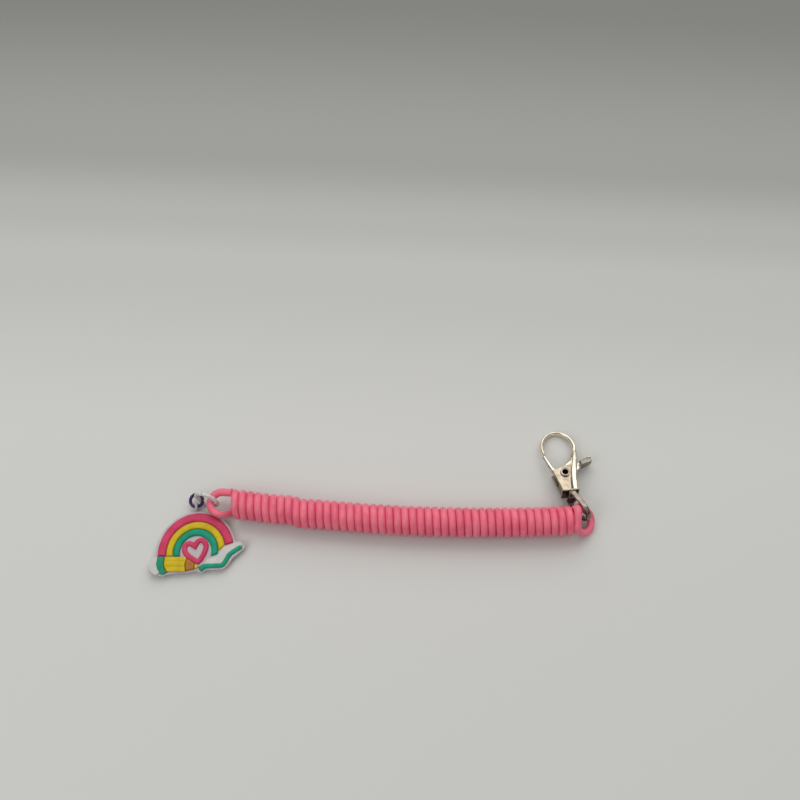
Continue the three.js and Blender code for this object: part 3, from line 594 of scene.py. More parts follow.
def as_piece(name, skins, slot, body, nodes=(), matrix=None, look=None):
    """One object from a list of skins, riding on a body."""
    vertices = []
    faces = []
    for skin_vertices, skin_faces in skins:
        faces += [[i + len(vertices) for i in face] for face in skin_faces]
        vertices += skin_vertices
    mesh = bpy.data.meshes.new(name)
    mesh.from_pydata([v * MM for v in vertices], [], faces)
    if matrix:
        mesh.transform(matrix)
    mesh.materials.append(MATERIALS[look or slot])
    shape = bmesh.new()
    shape.from_mesh(mesh)
    bmesh.ops.recalc_face_normals(shape, faces=shape.faces)
    shape.to_mesh(mesh)
    shape.free()
    piece = bpy.data.objects.new(name, mesh)
    bpy.context.scene.collection.objects.link(piece)
    mesh.shade_smooth()
    mesh.set_sharp_from_angle(angle=SHARP_ANGLE)
    if body:
        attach(piece, body)
    if nodes:
        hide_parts(*nodes)
    return piece


def oval(width, depth, power=2.0, count=16):
    """Points round a rounded cross-section: power 2 is an ellipse, and more is squarer."""
    points = []
    for i in range(count):
        s, c = on_circle(i / count)
        a = math.copysign(abs(c) ** (2 / power), c) * width / 2
        b = math.copysign(abs(s) ** (2 / power), s) * depth / 2
        points.append((a, b))
    return points


def ring_faces(rows, sides, closed=False):
    """Faces between rings of points that follow each other."""
    faces = []
    for i in range(rows if closed else rows - 1):
        here = i * sides
        there = (i + 1) % rows * sides
        for k in range(sides):
            after = (k + 1) % sides
            faces.append([here + k, here + after, there + after, there + k])
    return faces


def sweep(path, outs, section, closed=False, cap=0.0, cap_steps=4):
    """A skin along a path. section is its cross-section, or gives it at a share of the path."""
    count = len(path)
    rings = []
    for i, point in enumerate(path):
        ahead = path[(i + 1) % count] if closed else path[min(i + 1, count - 1)]
        behind = path[i - 1] if closed else path[max(i - 1, 0)]
        along = (ahead - behind).normalized()
        out = (outs[i] - along * outs[i].dot(along)).normalized()
        shape = section(i / max(count - 1, 1)) if callable(section) else section
        rings.append((point, out, along.cross(out), along, shape, 1.0))
    if cap:
        rings = capped(rings[0], -cap, cap_steps)[::-1] + rings + capped(rings[-1], cap, cap_steps)
    vertices = []
    for at, out, side, _, shape, size in rings:
        vertices += [at + out * a * size + side * b * size for a, b in shape]
    sides = len(rings[0][4])
    faces = ring_faces(len(rings), sides, closed)
    if not closed:
        faces += [list(range(sides))[::-1], list(range(len(vertices) - sides, len(vertices)))]
    return vertices, faces


def capped(ring, reach, steps, least=0.06):
    """Rings that round an end, down to the least size."""
    at, out, side, along, shape, _ = ring
    rings = []
    for i in range(1, steps + 1):
        angle = math.pi / 2 * i / steps
        centre = at + along * reach * math.sin(angle)
        rings.append((centre, out, side, along, shape, max(math.cos(angle), least)))
    return rings


def slab(outline, low, high, bevel, top_only=False, segments=3, near=1e-6):
    """A plate with rounded edges from an outline in its own plane."""
    shape = bmesh.new()
    bottom = [shape.verts.new((x, y, low)) for x, y in outline]
    face = shape.faces.new(bottom)
    raised = bmesh.ops.extrude_face_region(shape, geom=[face])
    top = [v for v in raised["geom"] if isinstance(v, bmesh.types.BMVert)]
    for vertex in top:
        vertex.co.z = high
    shape.faces.ensure_lookup_table()
    bmesh.ops.recalc_face_normals(shape, faces=shape.faces)
    rim = []
    for level in (high,) if top_only else (high, low):
        rim += [edge for edge in shape.edges if all(abs(v.co.z - level) < near for v in edge.verts)]
    bmesh.ops.bevel(
        shape, geom=rim, offset=bevel, segments=segments, profile=0.5, affect="EDGES", clamp_overlap=True
    )
    shape.verts.index_update()
    vertices = [v.co.copy() for v in shape.verts]
    faces = [[v.index for v in f.verts] for f in shape.faces]
    shape.free()
    return vertices, faces


def undercut(skin, outline, by, height):
    """Draws the lower part of a plate's side inwards, as it leaves its mould."""
    points = flat(outline)
    for vertex in skin[0]:
        level = Vector((vertex.x, vertex.y, 0))
        near = min(range(len(points)), key=lambda i: (points[i] - level).length)
        along = (points[(near + 1) % len(points)] - points[near - 1]).normalized()
        vertex += Z.cross(along) * by * max(0, 1 - vertex.z / height)
    return skin


def lathe(profile, axis_at, count=40):
    """A turned skin about an axis along Z through a point."""
    vertices = []
    for radius, z in profile:
        for i in range(count):
            s, c = on_circle(i / count)
            vertices.append(axis_at + Vector((radius * c, radius * s, z)))
    return vertices, ring_faces(len(profile), count)


def mirrored(half):
    """A turned profile whose two ends are alike, from its upper half, listed from the end to the middle."""
    return [(radius, -z) for radius, z in half] + half[::-1]


def smooth(points, steps=8, closed=False):
    """A smooth curve through points."""
    count = len(points)
    made = []
    for i in range(count if closed else count - 1):
        if closed:
            p = [points[(i + k) % count] for k in (-1, 0, 1, 2)]
        else:
            p = [points[max(min(i + k, count - 1), 0)] for k in (-1, 0, 1, 2)]
        for s in range(steps):
            t = s / steps
            made.append(
                0.5 * (2 * p[1] + (p[2] - p[0]) * t + (2 * p[0] - 5 * p[1] + 4 * p[2] - p[3]) * t * t
                       + (3 * p[1] - p[0] - 3 * p[2] + p[3]) * t ** 3)
            )
    if not closed:
        made.append(points[-1])
    return made


def flat(points):
    return [Vector((x, y, 0)) for x, y in points]


def basis(at, x, y, z):
    """The matrix of a frame at a point, given in millimetres."""
    made = Matrix((x, y, z)).transposed().to_4x4()
    made.translation = at * MM
    return made


# Coil cord and its end loops: a run is a list of (point, outward direction, share of the way along the
# coil)

def coil_axis(x):
    """The coil's middle line, which bows and slips a little sideways at one place."""
    share = max(-1, min(1, x / COIL_HALF))
    slip = (x - SLIP_PLACE) / SLIP_WIDTH
    sideways = SLIP * -slip * math.exp((1 - slip * slip) / 2)
    return Vector((x, BOW * (share * share - 1) + sideways, COIL_HEIGHT))


def helix():
    made = []
    steps = round(TURNS * TURN_STEPS)
    for i in range(steps + 1):
        turn = i / TURN_STEPS
        angle = 2 * math.pi * turn - math.pi
        x = (turn - TURNS / 2) * PITCH
        share = turn / TURNS
        wander = noise.noise(Vector((turn * UNEVEN_RATE, 0, 0)))
        uneven = UNEVEN * wander * math.sin(math.pi * share) ** 0.5
        out = Vector((0, -math.sin(angle), math.cos(angle)))
        made.append((coil_axis(x) + X * uneven + out * COIL_RADIUS, out, share))
    return made


def loop(centre, outward, upward, angles, share, spread=Vector()):
    """Part of a circle, which spread draws out sideways as it goes round."""
    made = []
    for i in range(LOOP_STEPS + 1):
        degrees = blend(angles[0], angles[1], i / LOOP_STEPS)
        angle = math.radians(degrees)
        out = outward * math.sin(angle) - upward * math.cos(angle)
        made.append((centre + out * LOOP_RADIUS + spread * (degrees + 90) / 360, out, share))
    return made


def bend(before, after, steps=14):
    """A smooth bend from the end of one run to the start of the next."""
    a, b = before[-1], after[0]
    reach = (b[0] - a[0]).length
    start = (a[0] - before[-2][0]).normalized() * reach
    end = (after[1][0] - b[0]).normalized() * reach
    made = []
    for i in range(1, steps):
        t = i / steps
        at = a[0] * (2 * t ** 3 - 3 * t ** 2 + 1) + start * (t ** 3 - 2 * t ** 2 + t)
        at += b[0] * (3 * t ** 2 - 2 * t ** 3) + end * (t ** 3 - t ** 2)
        made.append((at, a[1].lerp(b[1], t), blend(a[2], b[2], t)))
    return made


def tip(run, length):
    """A straight end that goes on from a run."""
    at, out, share = run[-1]
    along = (at - run[-2][0]).normalized()
    return [(at + along * length * i / TIP_STEPS, out, share) for i in range(1, TIP_STEPS + 1)]


def left_loop():
    """The left end loop from its tip to the first turn."""
    centre = Vector((-COIL_HALF - SOLID_LOOP_RADIUS + LEFT_TUCK, 0, LOOP_HEIGHT))
    up = Vector((0, math.cos(LEFT_RISE), math.sin(LEFT_RISE)))
    run = loop(centre, -X, up, LEFT_ANGLES, 0)
    return (run + tip(run, LEFT_TIP))[::-1]


def right_loop():
    """The straight stretch that leaves the last turn, and the right end loop."""
    up = Vector((0, math.sin(LEAN), math.cos(LEAN)))
    front = Vector((0, -math.cos(LEAN), math.sin(LEAN)))
    way = X * math.cos(RIGHT_DOOR) - front * math.sin(RIGHT_DOOR)
    reach = SOLID_LOOP_RADIUS * math.cos(RIGHT_DOOR) + RIGHT_TUCK
    centre = Vector((COIL_HALF + reach, 0, LOOP_HEIGHT))
    run = loop(centre, way, up, RIGHT_ANGLES, 1, way.cross(up) * -RIGHT_SPREAD)
    splice = Vector((COIL_HALF + SPLICE_REACH, 0, LOOP_HEIGHT))
    splice += up * SPLICE_HEIGHT + front * (SOLID_LOOP_RADIUS - SPLICE_HEIGHT)
    straight = [(splice - up * SPLICE_STRAIGHT * step, front, 1) for step in (-1, -0.5, 0, 0.5, 1)]
    return straight, run


def cord_route():
    """The cord's middle line from its left tip to its right one."""
    straight, right = right_loop()
    runs = [left_loop(), helix(), straight, right]
    route = list(runs[0])
    for before, after in zip(runs, runs[1:]):
        route += bend(before, after) + after
    return route + tip(right, RIGHT_TIP)


def lump(at, radius, seed, steps=10):
    """A small uneven bead of melted cord."""
    vertices = []
    for j in range(steps + 1):
        tilt = math.pi * blend(BEAD_POLE, 1 - BEAD_POLE, j / steps)
        for i in range(steps):
            s, c = on_circle(i / steps)
            out = Vector((math.sin(tilt) * c, math.sin(tilt) * s, math.cos(tilt)))
            uneven = BEAD_LUMPS * noise.noise(out * 1.6 + X * seed)
            vertices.append(at + out * radius * (1 + uneven))
    return vertices, ring_faces(steps + 1, steps)


def melted_edge(at, along):
    """Beads round the place where the loop's tip is melted onto the first turn."""
    beads = []
    for k in range(MELTED_BEADS):
        angle = math.radians(blend(-MELTED_REACH, MELTED_REACH, k / (MELTED_BEADS - 1)))
        out = Z * math.cos(angle) - Y * math.sin(angle)
        size = BEAD_RADIUS + BEAD_VARIES * noise.noise(Vector((k * 1.7, 4, 0)))
        stray = along * MELTED_STRAY * noise.noise(Vector((k * 2.3, 0, 5)))
        beads.append(lump(at + out * (CORD_RADIUS - MELTED_SINK) + stray, size, k))
    return beads


def coil_cord():
    route = cord_route()
    path = [at + COIL_MIDDLE for at, _, _ in route]
    first_bend = sum(share == 0 for _, _, share in route) / len(route)

    def section(share):
        """The cord is pinched a little where it bends into the first turn."""
        pinch = BEND_PINCH * math.exp(-((share - first_bend) * len(route) / BEND_STEPS) ** 2)
        return oval(2 * (CORD_RADIUS - pinch), 2 * (CORD_RADIUS - pinch), 2, CORD_SIDES)

    skin = sweep(path, [out for _, out, _ in route], section, cap=CORD_CAP, cap_steps=CORD_CAP_STEPS)
    along = (path[0] - path[1]).normalized()
    beads = melted_edge(path[0] - along * MELTED_BACK, along)
    cord = as_piece("coil_cord_soft", [skin] + beads, "cord", None, ("coil_cord", "coil_end_loop"))
    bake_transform(cord)
    shares = [share for _, _, share in route]
    shares = [shares[0]] * CORD_CAP_STEPS + shares + [shares[-1]] * CORD_CAP_STEPS
    weights = [share for share in shares for _ in range(CORD_SIDES)]
    weights += [0] * sum(len(vertices) for vertices, _ in beads)
    length = sum((b - a).length for a, b in zip(path, path[1:]))
    print("cord length in metres", round(length * MM, 3))


# Rings

def wire_ring(name, slot, body, matrix, radius, wire, split, gap):
    """A wire ring with a fine gap, which lies at an angle of split degrees."""
    outs = []
    open_by = gap / radius
    for i in range(RING_STEPS + 1):
        angle = math.radians(split) + open_by / 2 + (2 * math.pi - open_by) * i / RING_STEPS
        outs.append(Vector((math.cos(angle), math.sin(angle), 0)))
    path = [out * radius for out in outs]
    section = oval(2 * wire, 2 * wire, count=RING_SIDES)
    skin = sweep(path, outs, section, cap=RING_CAP, cap_steps=RING_CAP_STEPS)
    as_piece(name, [skin], slot, body, (slot,), matrix)


def white_ring():
    across = Vector((math.cos(WHITE_TURN), math.sin(WHITE_TURN), 0))
    matrix = basis(WHITE_AT, across, Z, across.cross(Z))
    sizes = (WHITE_RADIUS, WHITE_WIRE, WHITE_SPLIT, WHITE_GAP)
    wire_ring("white_jump_ring", "white_ring", "ring_white", matrix, *sizes)


def purple_ring():
    level = math.sin(PURPLE_TILT)
    normal = Vector((level * math.cos(PURPLE_LEAN), level * math.sin(PURPLE_LEAN), math.cos(PURPLE_TILT)))
    across = Y.cross(normal).normalized()
    matrix = basis(PURPLE_AT, across, normal.cross(across), normal)
    sizes = (PURPLE_RADIUS, PURPLE_WIRE, PURPLE_SPLIT, PURPLE_GAP)
    wire_ring("purple_split_ring", "purple_ring", "ring_purple", matrix, *sizes)


# Charm

def moulded(name, skins, slot, *nodes, look=None):
    matrix = Matrix.Translation(CHARM_AT * MM) @ Matrix.Rotation(CHARM_TURN, 4, "Z")
    return as_piece(name, skins, slot, "charm", nodes, matrix, look)


def arc(radius, start, end, steps, rise=ARCH_RISE):
    made = []
    for i in range(steps + 1):
        angle = math.radians(blend(start, end, i / steps))
        made.append((radius * math.cos(angle), radius * rise * math.sin(angle)))
    return made


def circle_arc(centre, radius, start, end, steps):
    return [(centre[0] + x, centre[1] + y) for x, y in arc(radius, start, end, steps, 1)]


def curve(start, control, end, steps=6):
    """The points of a curve after its start."""
    made = []
    for i in range(1, steps + 1):
        t = i / steps
        x, y = ((1 - t) ** 2 * a + 2 * t * (1 - t) * c + t * t * b for a, c, b in zip(start, control, end))
        made.append((x, y))
    return made


def charm_outline():
    points = arc(PINK_RADIUS + CHARM_BORDER, *BORDER_ARC)
    points += circle_arc(ERASER_MIDDLE, ERASER_BORDER, *ERASER_BORDER_ARC)
    for start, *rest in LOWER_EDGE:
        points.append(start)
        if rest:
            points += curve(start, *rest)
    return points


def eyelet(across):
    """The wire eye that stands on the charm's upper edge."""
    middle = EYELET_MIDDLE + Z * EYELET_HEIGHT
    outs = []
    for i in range(EYELET_STEPS):
        s, c = on_circle(i / EYELET_STEPS)
        outs.append(across * c + Z * s)
    section = oval(2 * EYELET_WIRE, 2 * EYELET_WIRE, power=2.2, count=EYELET_SIDES)
    return sweep([middle + out * EYELET_RADIUS for out in outs], outs, section, closed=True)


def eyelet_foot(across):
    """The tapering foot from the charm's edge to the eyelet."""
    low = EYELET_MIDDLE - across * (EYELET_RADIUS + FOOT_BACK)
    path = [low + across * along + Z * high for along, high in FOOT_ROUTE]

    def section(share):
        return oval(blend(*FOOT_WIDTHS, share), blend(*FOOT_DEPTHS, share), SQUARISH, EYELET_SIDES)

    return sweep(path, [Z] * len(path), section, cap=FOOT_CAP)


def charm_base():
    plate = slab(charm_outline(), 0, CHARM_TOP, CHARM_ROUNDING, segments=4)
    plate = undercut(plate, charm_outline(), UNDERCUT, UNDERCUT_HEIGHT)
    across = Vector((-math.sin(EYELET_TURN), math.cos(EYELET_TURN), 0))
    skins = [plate, eyelet(across), eyelet_foot(across)]
    # The plate takes a greyer copy of the charm's white: painted shade.
    moulded("charm_plate", skins, "charm_white", "charm_base", look="charm_shade")


def band(name, steps=110, across=14):
    """A moulded band of the arch, rounded across, with its left foot cut level."""
    outer, inner = BANDS[name]
    vertices = []
    for i in range(-1, steps + 2):
        u = max(0, min(1, i / steps))
        from_end = min(u, 1 - u) * BAND_LENGTH * outer / BAND_END
        ends = min(1, from_end + BAND_END_LEAST) ** BAND_END_POWER
        for j in range(-1, across + 2):
            v = max(0, min(1, j / across))
            radius = blend(outer, inner, v)
            start = math.radians(blend(*BAND_ENDS[name], v))
            foot = math.pi - math.asin(BAND_FOOT / radius / ARCH_RISE)
            angle = blend(start, foot, u)
            crown = max(0.0, 1 - abs(2 * v - 1) ** BAND_CROWN_POWER) ** 0.5 * ends
            skirt = i in (-1, steps + 1) or j in (-1, across + 1)
            rise = -BAND_ROOT if skirt else BAND_EDGE + (RELIEF - BAND_EDGE) * crown
            flat_x, flat_y = radius * math.cos(angle), radius * ARCH_RISE * math.sin(angle)
            vertices.append(Vector((flat_x, flat_y, CHARM_TOP + rise)))
    row = across + 3
    faces = []
    for i in range(steps + 2):
        for j in range(row - 1):
            faces.append([i * row + j, (i + 1) * row + j, (i + 1) * row + j + 1, i * row + j + 1])
    moulded(name + "_band", [(vertices, faces)], name.replace("rainbow", "charm"), name)


def groove_shade(name, outside, inside, look, slot):
    """Painted shade: a dark line laid in the groove between two bands."""
    radius = (BANDS[outside][1] + BANDS[inside][0]) / 2
    line = flat(arc(radius, GROOVE_SHADE_ENDS[name], GROOVE_SHADE_FOOT, GROOVE_SHADE_STEPS))
    path = [p + Z * (CHARM_TOP + GROOVE_SHADE_RISE) for p in line]
    section = oval(GROOVE_SHADE_HEIGHT, GROOVE_SHADE_WIDTH, count=8)
    moulded(name, [sweep(path, [Z] * len(path), section)], slot, look=look)


def bezier(a, b, c, d, steps=8):
    made = []
    for i in range(steps):
        t = i / steps
        made.append(a * (1 - t) ** 3 + b * 3 * t * (1 - t) ** 2 + c * 3 * t * t * (1 - t) + d * t ** 3)
    return made


def heart_points(width, height):
    """A heart about its own middle, from its tip up the right side and down the left."""
    right = flat([(x * width / 2, y * height) for x, y in HEART_FORM])
    points = bezier(*right[:4]) + bezier(*right[3:])
    return points + [Vector((-p.x, p.y, 0)) for p in [right[6]] + points[:0:-1]]


def heart():
    points = heart_points(HEART_WIDTH - HEART_LINE, HEART_HEIGHT - HEART_TIP_LINES * HEART_LINE)
    turn = Matrix.Rotation(HEART_TURN, 3, "Z")
    path = [turn @ (p + Y * HEART_HEIGHT / 2) + HEART_TIP + Z * CHARM_TOP for p in points]
    section = oval(2 * RELIEF, HEART_LINE + HEART_SWELL, SQUARISH)
    ridge = sweep(path, [Z] * len(path), section, closed=True)
    moulded("heart_ridge", [ridge], "charm_pink", "heart_outline")


def relief(outline, height, bevel, segments=4):
    """A patch that stands on the charm's face, with its upper edge rounded."""
    return slab(outline, CHARM_TOP - RELIEF_ROOT, CHARM_TOP + height, bevel, True, segments)


def pencil():
    eraser = circle_arc(ERASER_MIDDLE, ERASER_RADIUS, *ERASER_ARC) + ERASER_UNDER_FERRULE
    end = relief(eraser, RELIEF - ERASER_DROP, bevel=0.55, segments=5)
    moulded("pencil_end", [end], "charm_white", "pencil_eraser")
    moulded("pencil_band", [relief(FERRULE, RELIEF, bevel=0.4)], "charm_green", "pencil_ferrule")
    facets = []
    for upper, lower, corner, drop in zip(BARREL_EDGES, BARREL_EDGES[1:], BARREL_CORNERS, BARREL_DROPS):
        high, left, right = upper
        low, left_low, right_low = lower
        strip = [(left, high), (right, high)] + corner + [(right_low, low), (left_low, low)]
        facets.append(relief(strip, RELIEF - drop, bevel=0.2))
    moulded("pencil_shaft", facets, "charm_yellow", "pencil_barrel")
    # The gaps between the pencil's parts are lower patches in darker ochre: painted shade.
    gaps = (FERRULE_GAP_SHADE, WOOD_GAP_SHADE, POINT_GAP_SHADE)
    gap_shades = [relief(gap, PENCIL_GAP_SHADE_RELIEF, bevel=0.05, segments=1) for gap in gaps]
    moulded("pencil_gap_shade", gap_shades, "charm_wood", look="gap_shade_ochre")
    moulded("pencil_cone", [relief(WOOD, RELIEF - WOOD_DROP, bevel=0.35)], "charm_wood", "pencil_wood")
    point = relief(POINT, RELIEF - POINT_DROP, bevel=0.25)
    moulded("pencil_point", [point], "charm_yellow", "pencil_tip")


def page():
    moulded("page_sheet", [relief(PAGE, PAGE_RELIEF, bevel=0.25)], "charm_white", "page_white")
    path = [p + Z * CHARM_TOP for p in smooth(flat(PAGE_LINE), 6)]

    def section(share):
        return oval(2 * RELIEF, blend(*PAGE_LINE_WIDTHS, min(1, share / PAGE_LINE_NARROWS)), SQUARISH)

    skin = sweep(path, [Z] * len(path), section, cap=PAGE_LINE_CAP)
    moulded("page_edge_line", [skin], "charm_green", "page_line")


def charm():
    charm_base()
    for name in BANDS:
        band(name)
    # Dark lines in the grooves between bands: painted shade.
    groove_shade("groove_shade_outer", "rainbow_pink", "rainbow_yellow", "groove_shade_red", "charm_pink")
    groove_shade("groove_shade_inner", "rainbow_yellow", "rainbow_green", "groove_shade_green", "charm_green")
    heart()
    pencil()
    page()


# Clasp

def clasp_matrix():
    return basis(CLASP_AT, CLASP_ACROSS, CLASP_ALONG, CLASP_ACROSS.cross(CLASP_ALONG))


def metal(name, skins, body, nodes=(), matrix=None, look=None):
    return as_piece(name, skins, "nickel", body, nodes, matrix or clasp_matrix(), look)


def tapered(points, widths, depths, power, cap, lifts=None, steps=8):
    """A bar along points in the clasp's plane, whose width, depth and lift change along it."""
    lifts = lifts or [0] * len(points)
    path = smooth([Vector((x, y, z)) for (x, y), z in zip(points, lifts)], steps)
    sizes = smooth([Vector((w, d, 0)) for w, d in zip(widths, depths)], steps)

    def section(share):
        width, depth, _ = sizes[round(share * (len(path) - 1))]
        return oval(depth, width, power, BAR_SIDES)

    return sweep(path, [Z] * len(path), section, cap=cap)


def crest(side):
    """The ridge along the body's right edge: a slanted facet, then a rounded crest."""
    path = smooth([Vector((x, y, side * z)) for (x, y), z in zip(CREST, CREST_LIFTS)])
    stations = []
    for half, height, foot, lift in zip(CREST_HALVES, CREST_HEIGHTS, CREST_FEET, CREST_LIFTS):
        stations.append(Vector((half, height, (foot - lift) / height)))
    sizes = smooth(stations)

    def section(share):
        half, height, low = sizes[round(share * (len(path) - 1))]
        shape = [(low, -half)] + [(a, b * half) for a, b in CREST_SECTION] + [(low, half)]
        return [(a * height, -side * b) for a, b in shape]

    return sweep(path, [Z * side] * len(path), section)


def hook():
    """The hook's bar: from its root on the body round the oval arc."""
    points = []
    for i in range(HOOK_POINTS):
        angle = math.radians(blend(*HOOK_ARC, i / (HOOK_POINTS - 1)))
        x = HOOK_MIDDLE.x + (HOOK_WIDTH - HOOK_INSET) * math.cos(angle)
        y = HOOK_MIDDLE.y + (HOOK_HEIGHT - HOOK_INSET) * math.sin(angle)
        points.append((x, y))
    route = [HOOK_ROOT, points[0]] + points[2:]
    return tapered(route, HOOK_WIDTHS, HOOK_DEPTHS, power=2.2, cap=0.3, steps=5)


def pierce(piece, cutter, matrix):
    """Cuts a hole through a piece."""
    mesh = bpy.data.meshes.new("cutter")
    mesh.from_pydata([v * MM for v in cutter[0]], [], cutter[1])
    mesh.transform(matrix)
    tool = bpy.data.objects.new("cutter", mesh)
    bpy.context.scene.collection.objects.link(tool)
    cut = piece.modifiers.new("hole", "BOOLEAN")
    cut.object = tool
    cut.solver = "EXACT"
    cut.use_self = True
    shaped = bpy.data.meshes.new_from_object(piece.evaluated_get(bpy.context.evaluated_depsgraph_get()))
    piece.modifiers.clear()
    piece.data = shaped
    bpy.data.objects.remove(tool)
    bpy.data.meshes.remove(mesh)


def clasp_body():
    parts = [slab(PLATE, low, low + PLATE_THICK, bevel=0.16) for low in PLATE_LEVELS]
    parts += [slab(LINING, low, low + LINING_THICK, bevel=0.05, segments=1) for low in LINING_LEVELS]
    parts.append(slab(SEAT, -SEAT_HALF, SEAT_HALF, bevel=0.1))
    parts.append(slab(BASE_COLLAR, -BASE_COLLAR_HALF, BASE_COLLAR_HALF, bevel=0.2))
    # The crest, shoulders and hook are drawn in a brighter copy of the nickel: painted highlight.
    bright = [crest(side) for side in (-1, 1)]
    for side in (-1, 1):
        lifts = [side * lift for lift in SHOULDER_LIFTS]
        bright.append(tapered(SHOULDER, SHOULDER_WIDTHS, SHOULDER_DEPTHS, 3, cap=0.2, lifts=lifts, steps=6))
    bright.append(hook())
    metal("clasp_crest", bright, "clasp", look="nickel_painted_highlight")
    # The foot under the body is darkened nickel: painted shade and dark reflection.
    foot = slab(BASE_FOOT, -BASE_FOOT_HALF, BASE_FOOT_HALF, bevel=0.12)
    metal("clasp_foot", [foot], "clasp", look="nickel_painted_shade")
    # The plates, linings, seat and collar take a darker copy of the nickel: painted shade on the body's
    # faces.
    casting = metal("clasp_casting", parts, "clasp", ("clasp_body",), look="nickel_painted_face_shade")
    hole = mirrored([(AXIS_HOLE, RIVET_HOLE_END), (RIVET_HOLE, RIVET_HOLE_END)])
    pierce(casting, lathe(hole, RIVET), clasp_matrix())


def rivet():
    half = [(radius, RIVET_END - depth) for radius, depth in RIVET_HALF]
    # The rivet takes a dimmer copy of the nickel: painted shade.
    metal("rivet_turned", [lathe(mirrored(half), RIVET)], "clasp", ("gate_rivet",), look="nickel_dim_painted_shade")
    # The bore is lined in near-black nickel and closed near the middle: painted shade inside the hole.
    mouth, bottom = BORE_RADII
    bore = [(mouth, RIVET_END - BORE_SUNK), (bottom, RIVET_WEB), (AXIS_HOLE, RIVET_WEB)]
    metal("rivet_bore", [lathe(mirrored(bore), RIVET)], "clasp", look="nickel_painted_bore_shade")


def gate_spring():
    turn = []
    for i in range(SPRING_STEPS + 1):
        share = i / SPRING_STEPS
        s, c = on_circle(share)
        turn.append(Vector((SPRING_RADIUS * c, SPRING_RADIUS * s, SPRING_START + SPRING_PITCH * share)))
    points = [turn[0] - Y * SPRING_TAILS[0]] + turn + [turn[-1] + Y * SPRING_TAILS[1]]
    outs = [X] + [Vector((p.x, p.y, 0)) for p in turn] + [X]
    section = oval(SPRING_WIRE, SPRING_WIRE, count=SPRING_SIDES)
    skin = sweep([p + RIVET for p in points], outs, section)
    metal("spring_wire", [skin], "clasp", ("gate_spring",))


def thumb_rims(points, width, depth, cap):
    """A fine raised rim along both edges of the thumb tab."""
    count = len(points)
    widths, depths = [width] * count, [depth] * count
    levels = ([side * THUMB_HALF] * count for side in (-1, 1))
    return [tapered(points, widths, depths, power=2, cap=cap, lifts=lifts) for lifts in levels]


def gate():
    blade = slab(LEVER, *LEVER_LEVELS, bevel=0.15)
    rod = tapered(ROD, ROD_WIDTHS, ROD_DEPTHS, power=2.3, cap=0.2)
    collar = tapered(COLLAR, COLLAR_WIDTHS, COLLAR_DEPTHS, power=SQUARISH, cap=0.12)
    metal("gate_lever", [blade, rod, collar], "gate", ("clasp_gate",))
    # The tab is darker nickel: painted dark reflection. Its rims keep the plain nickel.
    tab = slab(THUMB, -THUMB_HALF, THUMB_HALF, bevel=0.35, segments=4)
    metal("gate_tab", [tab], "gate", look="nickel_painted_reflection")
    rims = thumb_rims(THUMB_LIP, width=0.36, depth=0.42, cap=0.15)
    rims += thumb_rims(THUMB_EDGE, width=0.2, depth=0.24, cap=0.05)
    metal("gate_tab_rim", rims, "gate")


def swivel():
    length = 2 * SWIVEL_GAP + LINK_THICK
    matrix = clasp_matrix() @ Matrix.Rotation(math.pi / 2, 4, "X")
    profile = [(PIN_AXIS_HOLE, -PIN_IN_SEAT), (PIN_RADIUS, -PIN_IN_SEAT), (PIN_RADIUS, length)]
    profile += [(radius, length + z) for radius, z in PIN_HEAD]
    # The pin is darkened nickel: painted shade and dark reflection.
    metal("swivel_pin", [lathe(profile, Vector())], "clasp", ("swivel_post",), matrix, "nickel_painted_shade")


def link_loop():
    """The link's strip, bent to a D that is straight at the post."""
    wide = (LINK_WIDTH - LINK_THICK) / 2
    top = -LINK_THICK / 2
    low = -LINK_HEIGHT + LINK_WIDTH / 2
    inside, under = wide - LINK_CORNER, top - LINK_CORNER
    side = [(inside, top)]
    for angle in LINK_CORNER_ANGLES:
        side.append((inside + LINK_CORNER * math.sin(angle), under + LINK_CORNER * math.cos(angle)))
    side += [(wide, under - LINK_CORNER_END), (wide, (top + low) / 2)]
    points = [side[0]] + [(-x, y) for x, y in side]
    for i in range(LINK_BOW_STEPS + 1):
        angle = math.pi + math.pi * i / LINK_BOW_STEPS
        points.append((wide * math.cos(angle), low + wide * math.sin(angle)))
    path = smooth(flat(points + side[:0:-1]), 3, True)
    section = oval(LINK_STRIP, LINK_THICK, power=4.5, count=LINK_SIDES)
    skin = sweep(path, [Z] * len(path), section, closed=True)
    matrix = basis(LINK_AT, LINK_ACROSS, LINK_ALONG, LINK_ACROSS.cross(LINK_ALONG))
    # The link is a dimmer copy of the nickel: painted shade.
    metal("link_strip", [skin], "swivel", ("swivel_link",), matrix, "nickel_dim_painted_shade")


# Stage

def floor():
    bpy.ops.mesh.primitive_plane_add(size=FLOOR_SIZE, location=(0, 0, 0))
    plane = bpy.context.object
    plane.name = "floor"
    material = new_material("floor_pale", colour(206, 206, 202), 0.75)
    place = node(material, "ShaderNodeTexCoord")
    split = node(material, "ShaderNodeSeparateXYZ")
    link(material, place, "Object", split, "Vector")
    spread = map_range(material, split, "Y", FLOOR_SPAN)
    tones = tone_ramp(material, [(at, colour(*tone)) for at, tone in FLOOR_TONES])
    tones.color_ramp.interpolation = "EASE"
    link(material, spread, "Result", tones, "Fac")
    link(material, tones, "Color", shader_of(material), "Base Color")
    add_bump(material, scale=900, strength=0.1, depth=0.1)
    plane.data.materials.append(material)


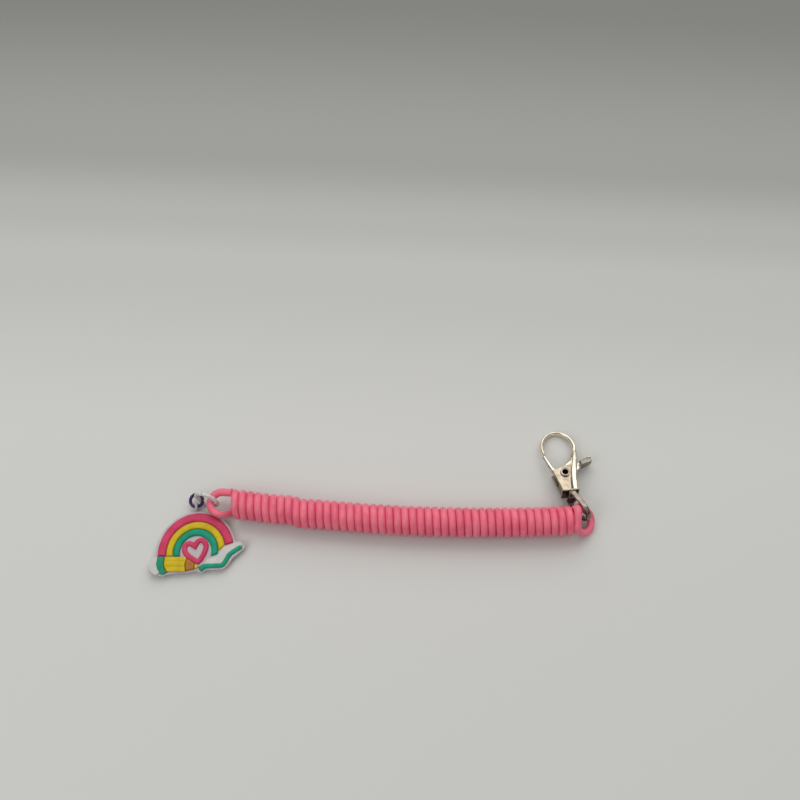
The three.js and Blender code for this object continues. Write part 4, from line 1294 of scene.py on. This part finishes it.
def lamp(name, at, towards, size, power, tint):
    data = bpy.data.lights.new(name, "AREA")
    data.shape = "RECTANGLE"
    data.size, data.size_y = size
    data.energy = power
    data.color = tint
    made = bpy.data.objects.new(name, data)
    made.location = at
    made.rotation_euler = (Vector(towards) - Vector(at)).to_track_quat("-Z", "Y").to_euler()
    bpy.context.scene.collection.objects.link(made)


def lamps():
    lamp("key", (0.08, 0.55, 0.62), (0, -0.01, 0), size=(1.3, 0.8), power=4.1, tint=(1, 0.985, 0.96))
    lamp("fill", (-0.5, -0.45, 0.6), (0, 0, 0), size=(0.5, 0.5), power=1.7, tint=(0.96, 0.98, 1))


def sky():
    """A grey sky that is paler above, which the camera sees as one pale tone."""
    world = bpy.data.worlds.new("studio")
    bpy.context.scene.world = world
    world.use_nodes = True
    lit = world.node_tree.nodes["Background"]
    lit.inputs["Strength"].default_value = SKY_STRENGTH
    place = node(world, "ShaderNodeTexCoord")
    split = node(world, "ShaderNodeSeparateXYZ")
    tones = tone_ramp(world, SKY_TONES)
    link(world, place, "Generated", split, "Vector")
    link(world, split, "Z", tones, "Fac")
    link(world, tones, "Color", lit, "Color")
    seen = node(world, "ShaderNodeBackground")
    seen.inputs["Color"].default_value = colour(*BACKDROP)
    rays = node(world, "ShaderNodeLightPath")
    either = node(world, "ShaderNodeMixShader")
    link(world, rays, "Is Camera Ray", either, "Fac")
    link(world, lit, "Background", either, 1)
    link(world, seen, "Background", either, 2)
    link(world, either, "Shader", world.node_tree.nodes["World Output"], "Surface")


def camera():
    data = bpy.data.cameras.new("camera")
    data.sensor_width = SENSOR_MM
    data.lens = FOCAL_PX / PHOTO_PX * SENSOR_MM
    data.clip_start = NEAREST_SEEN
    made = bpy.data.objects.new("camera", data)
    up = VIEW_RIGHT.cross(VIEW_FORWARD)
    made.matrix_world = basis(VIEW_AT, VIEW_RIGHT, up, -VIEW_FORWARD)
    bpy.context.scene.collection.objects.link(made)
    bpy.context.scene.camera = made


camera()
coil_cord()
white_ring()
purple_ring()
charm()
clasp_body()
rivet()
gate_spring()
gate()
swivel()
link_loop()
floor()
lamps()
sky()
bpy.context.scene.view_settings.view_transform = "Standard"
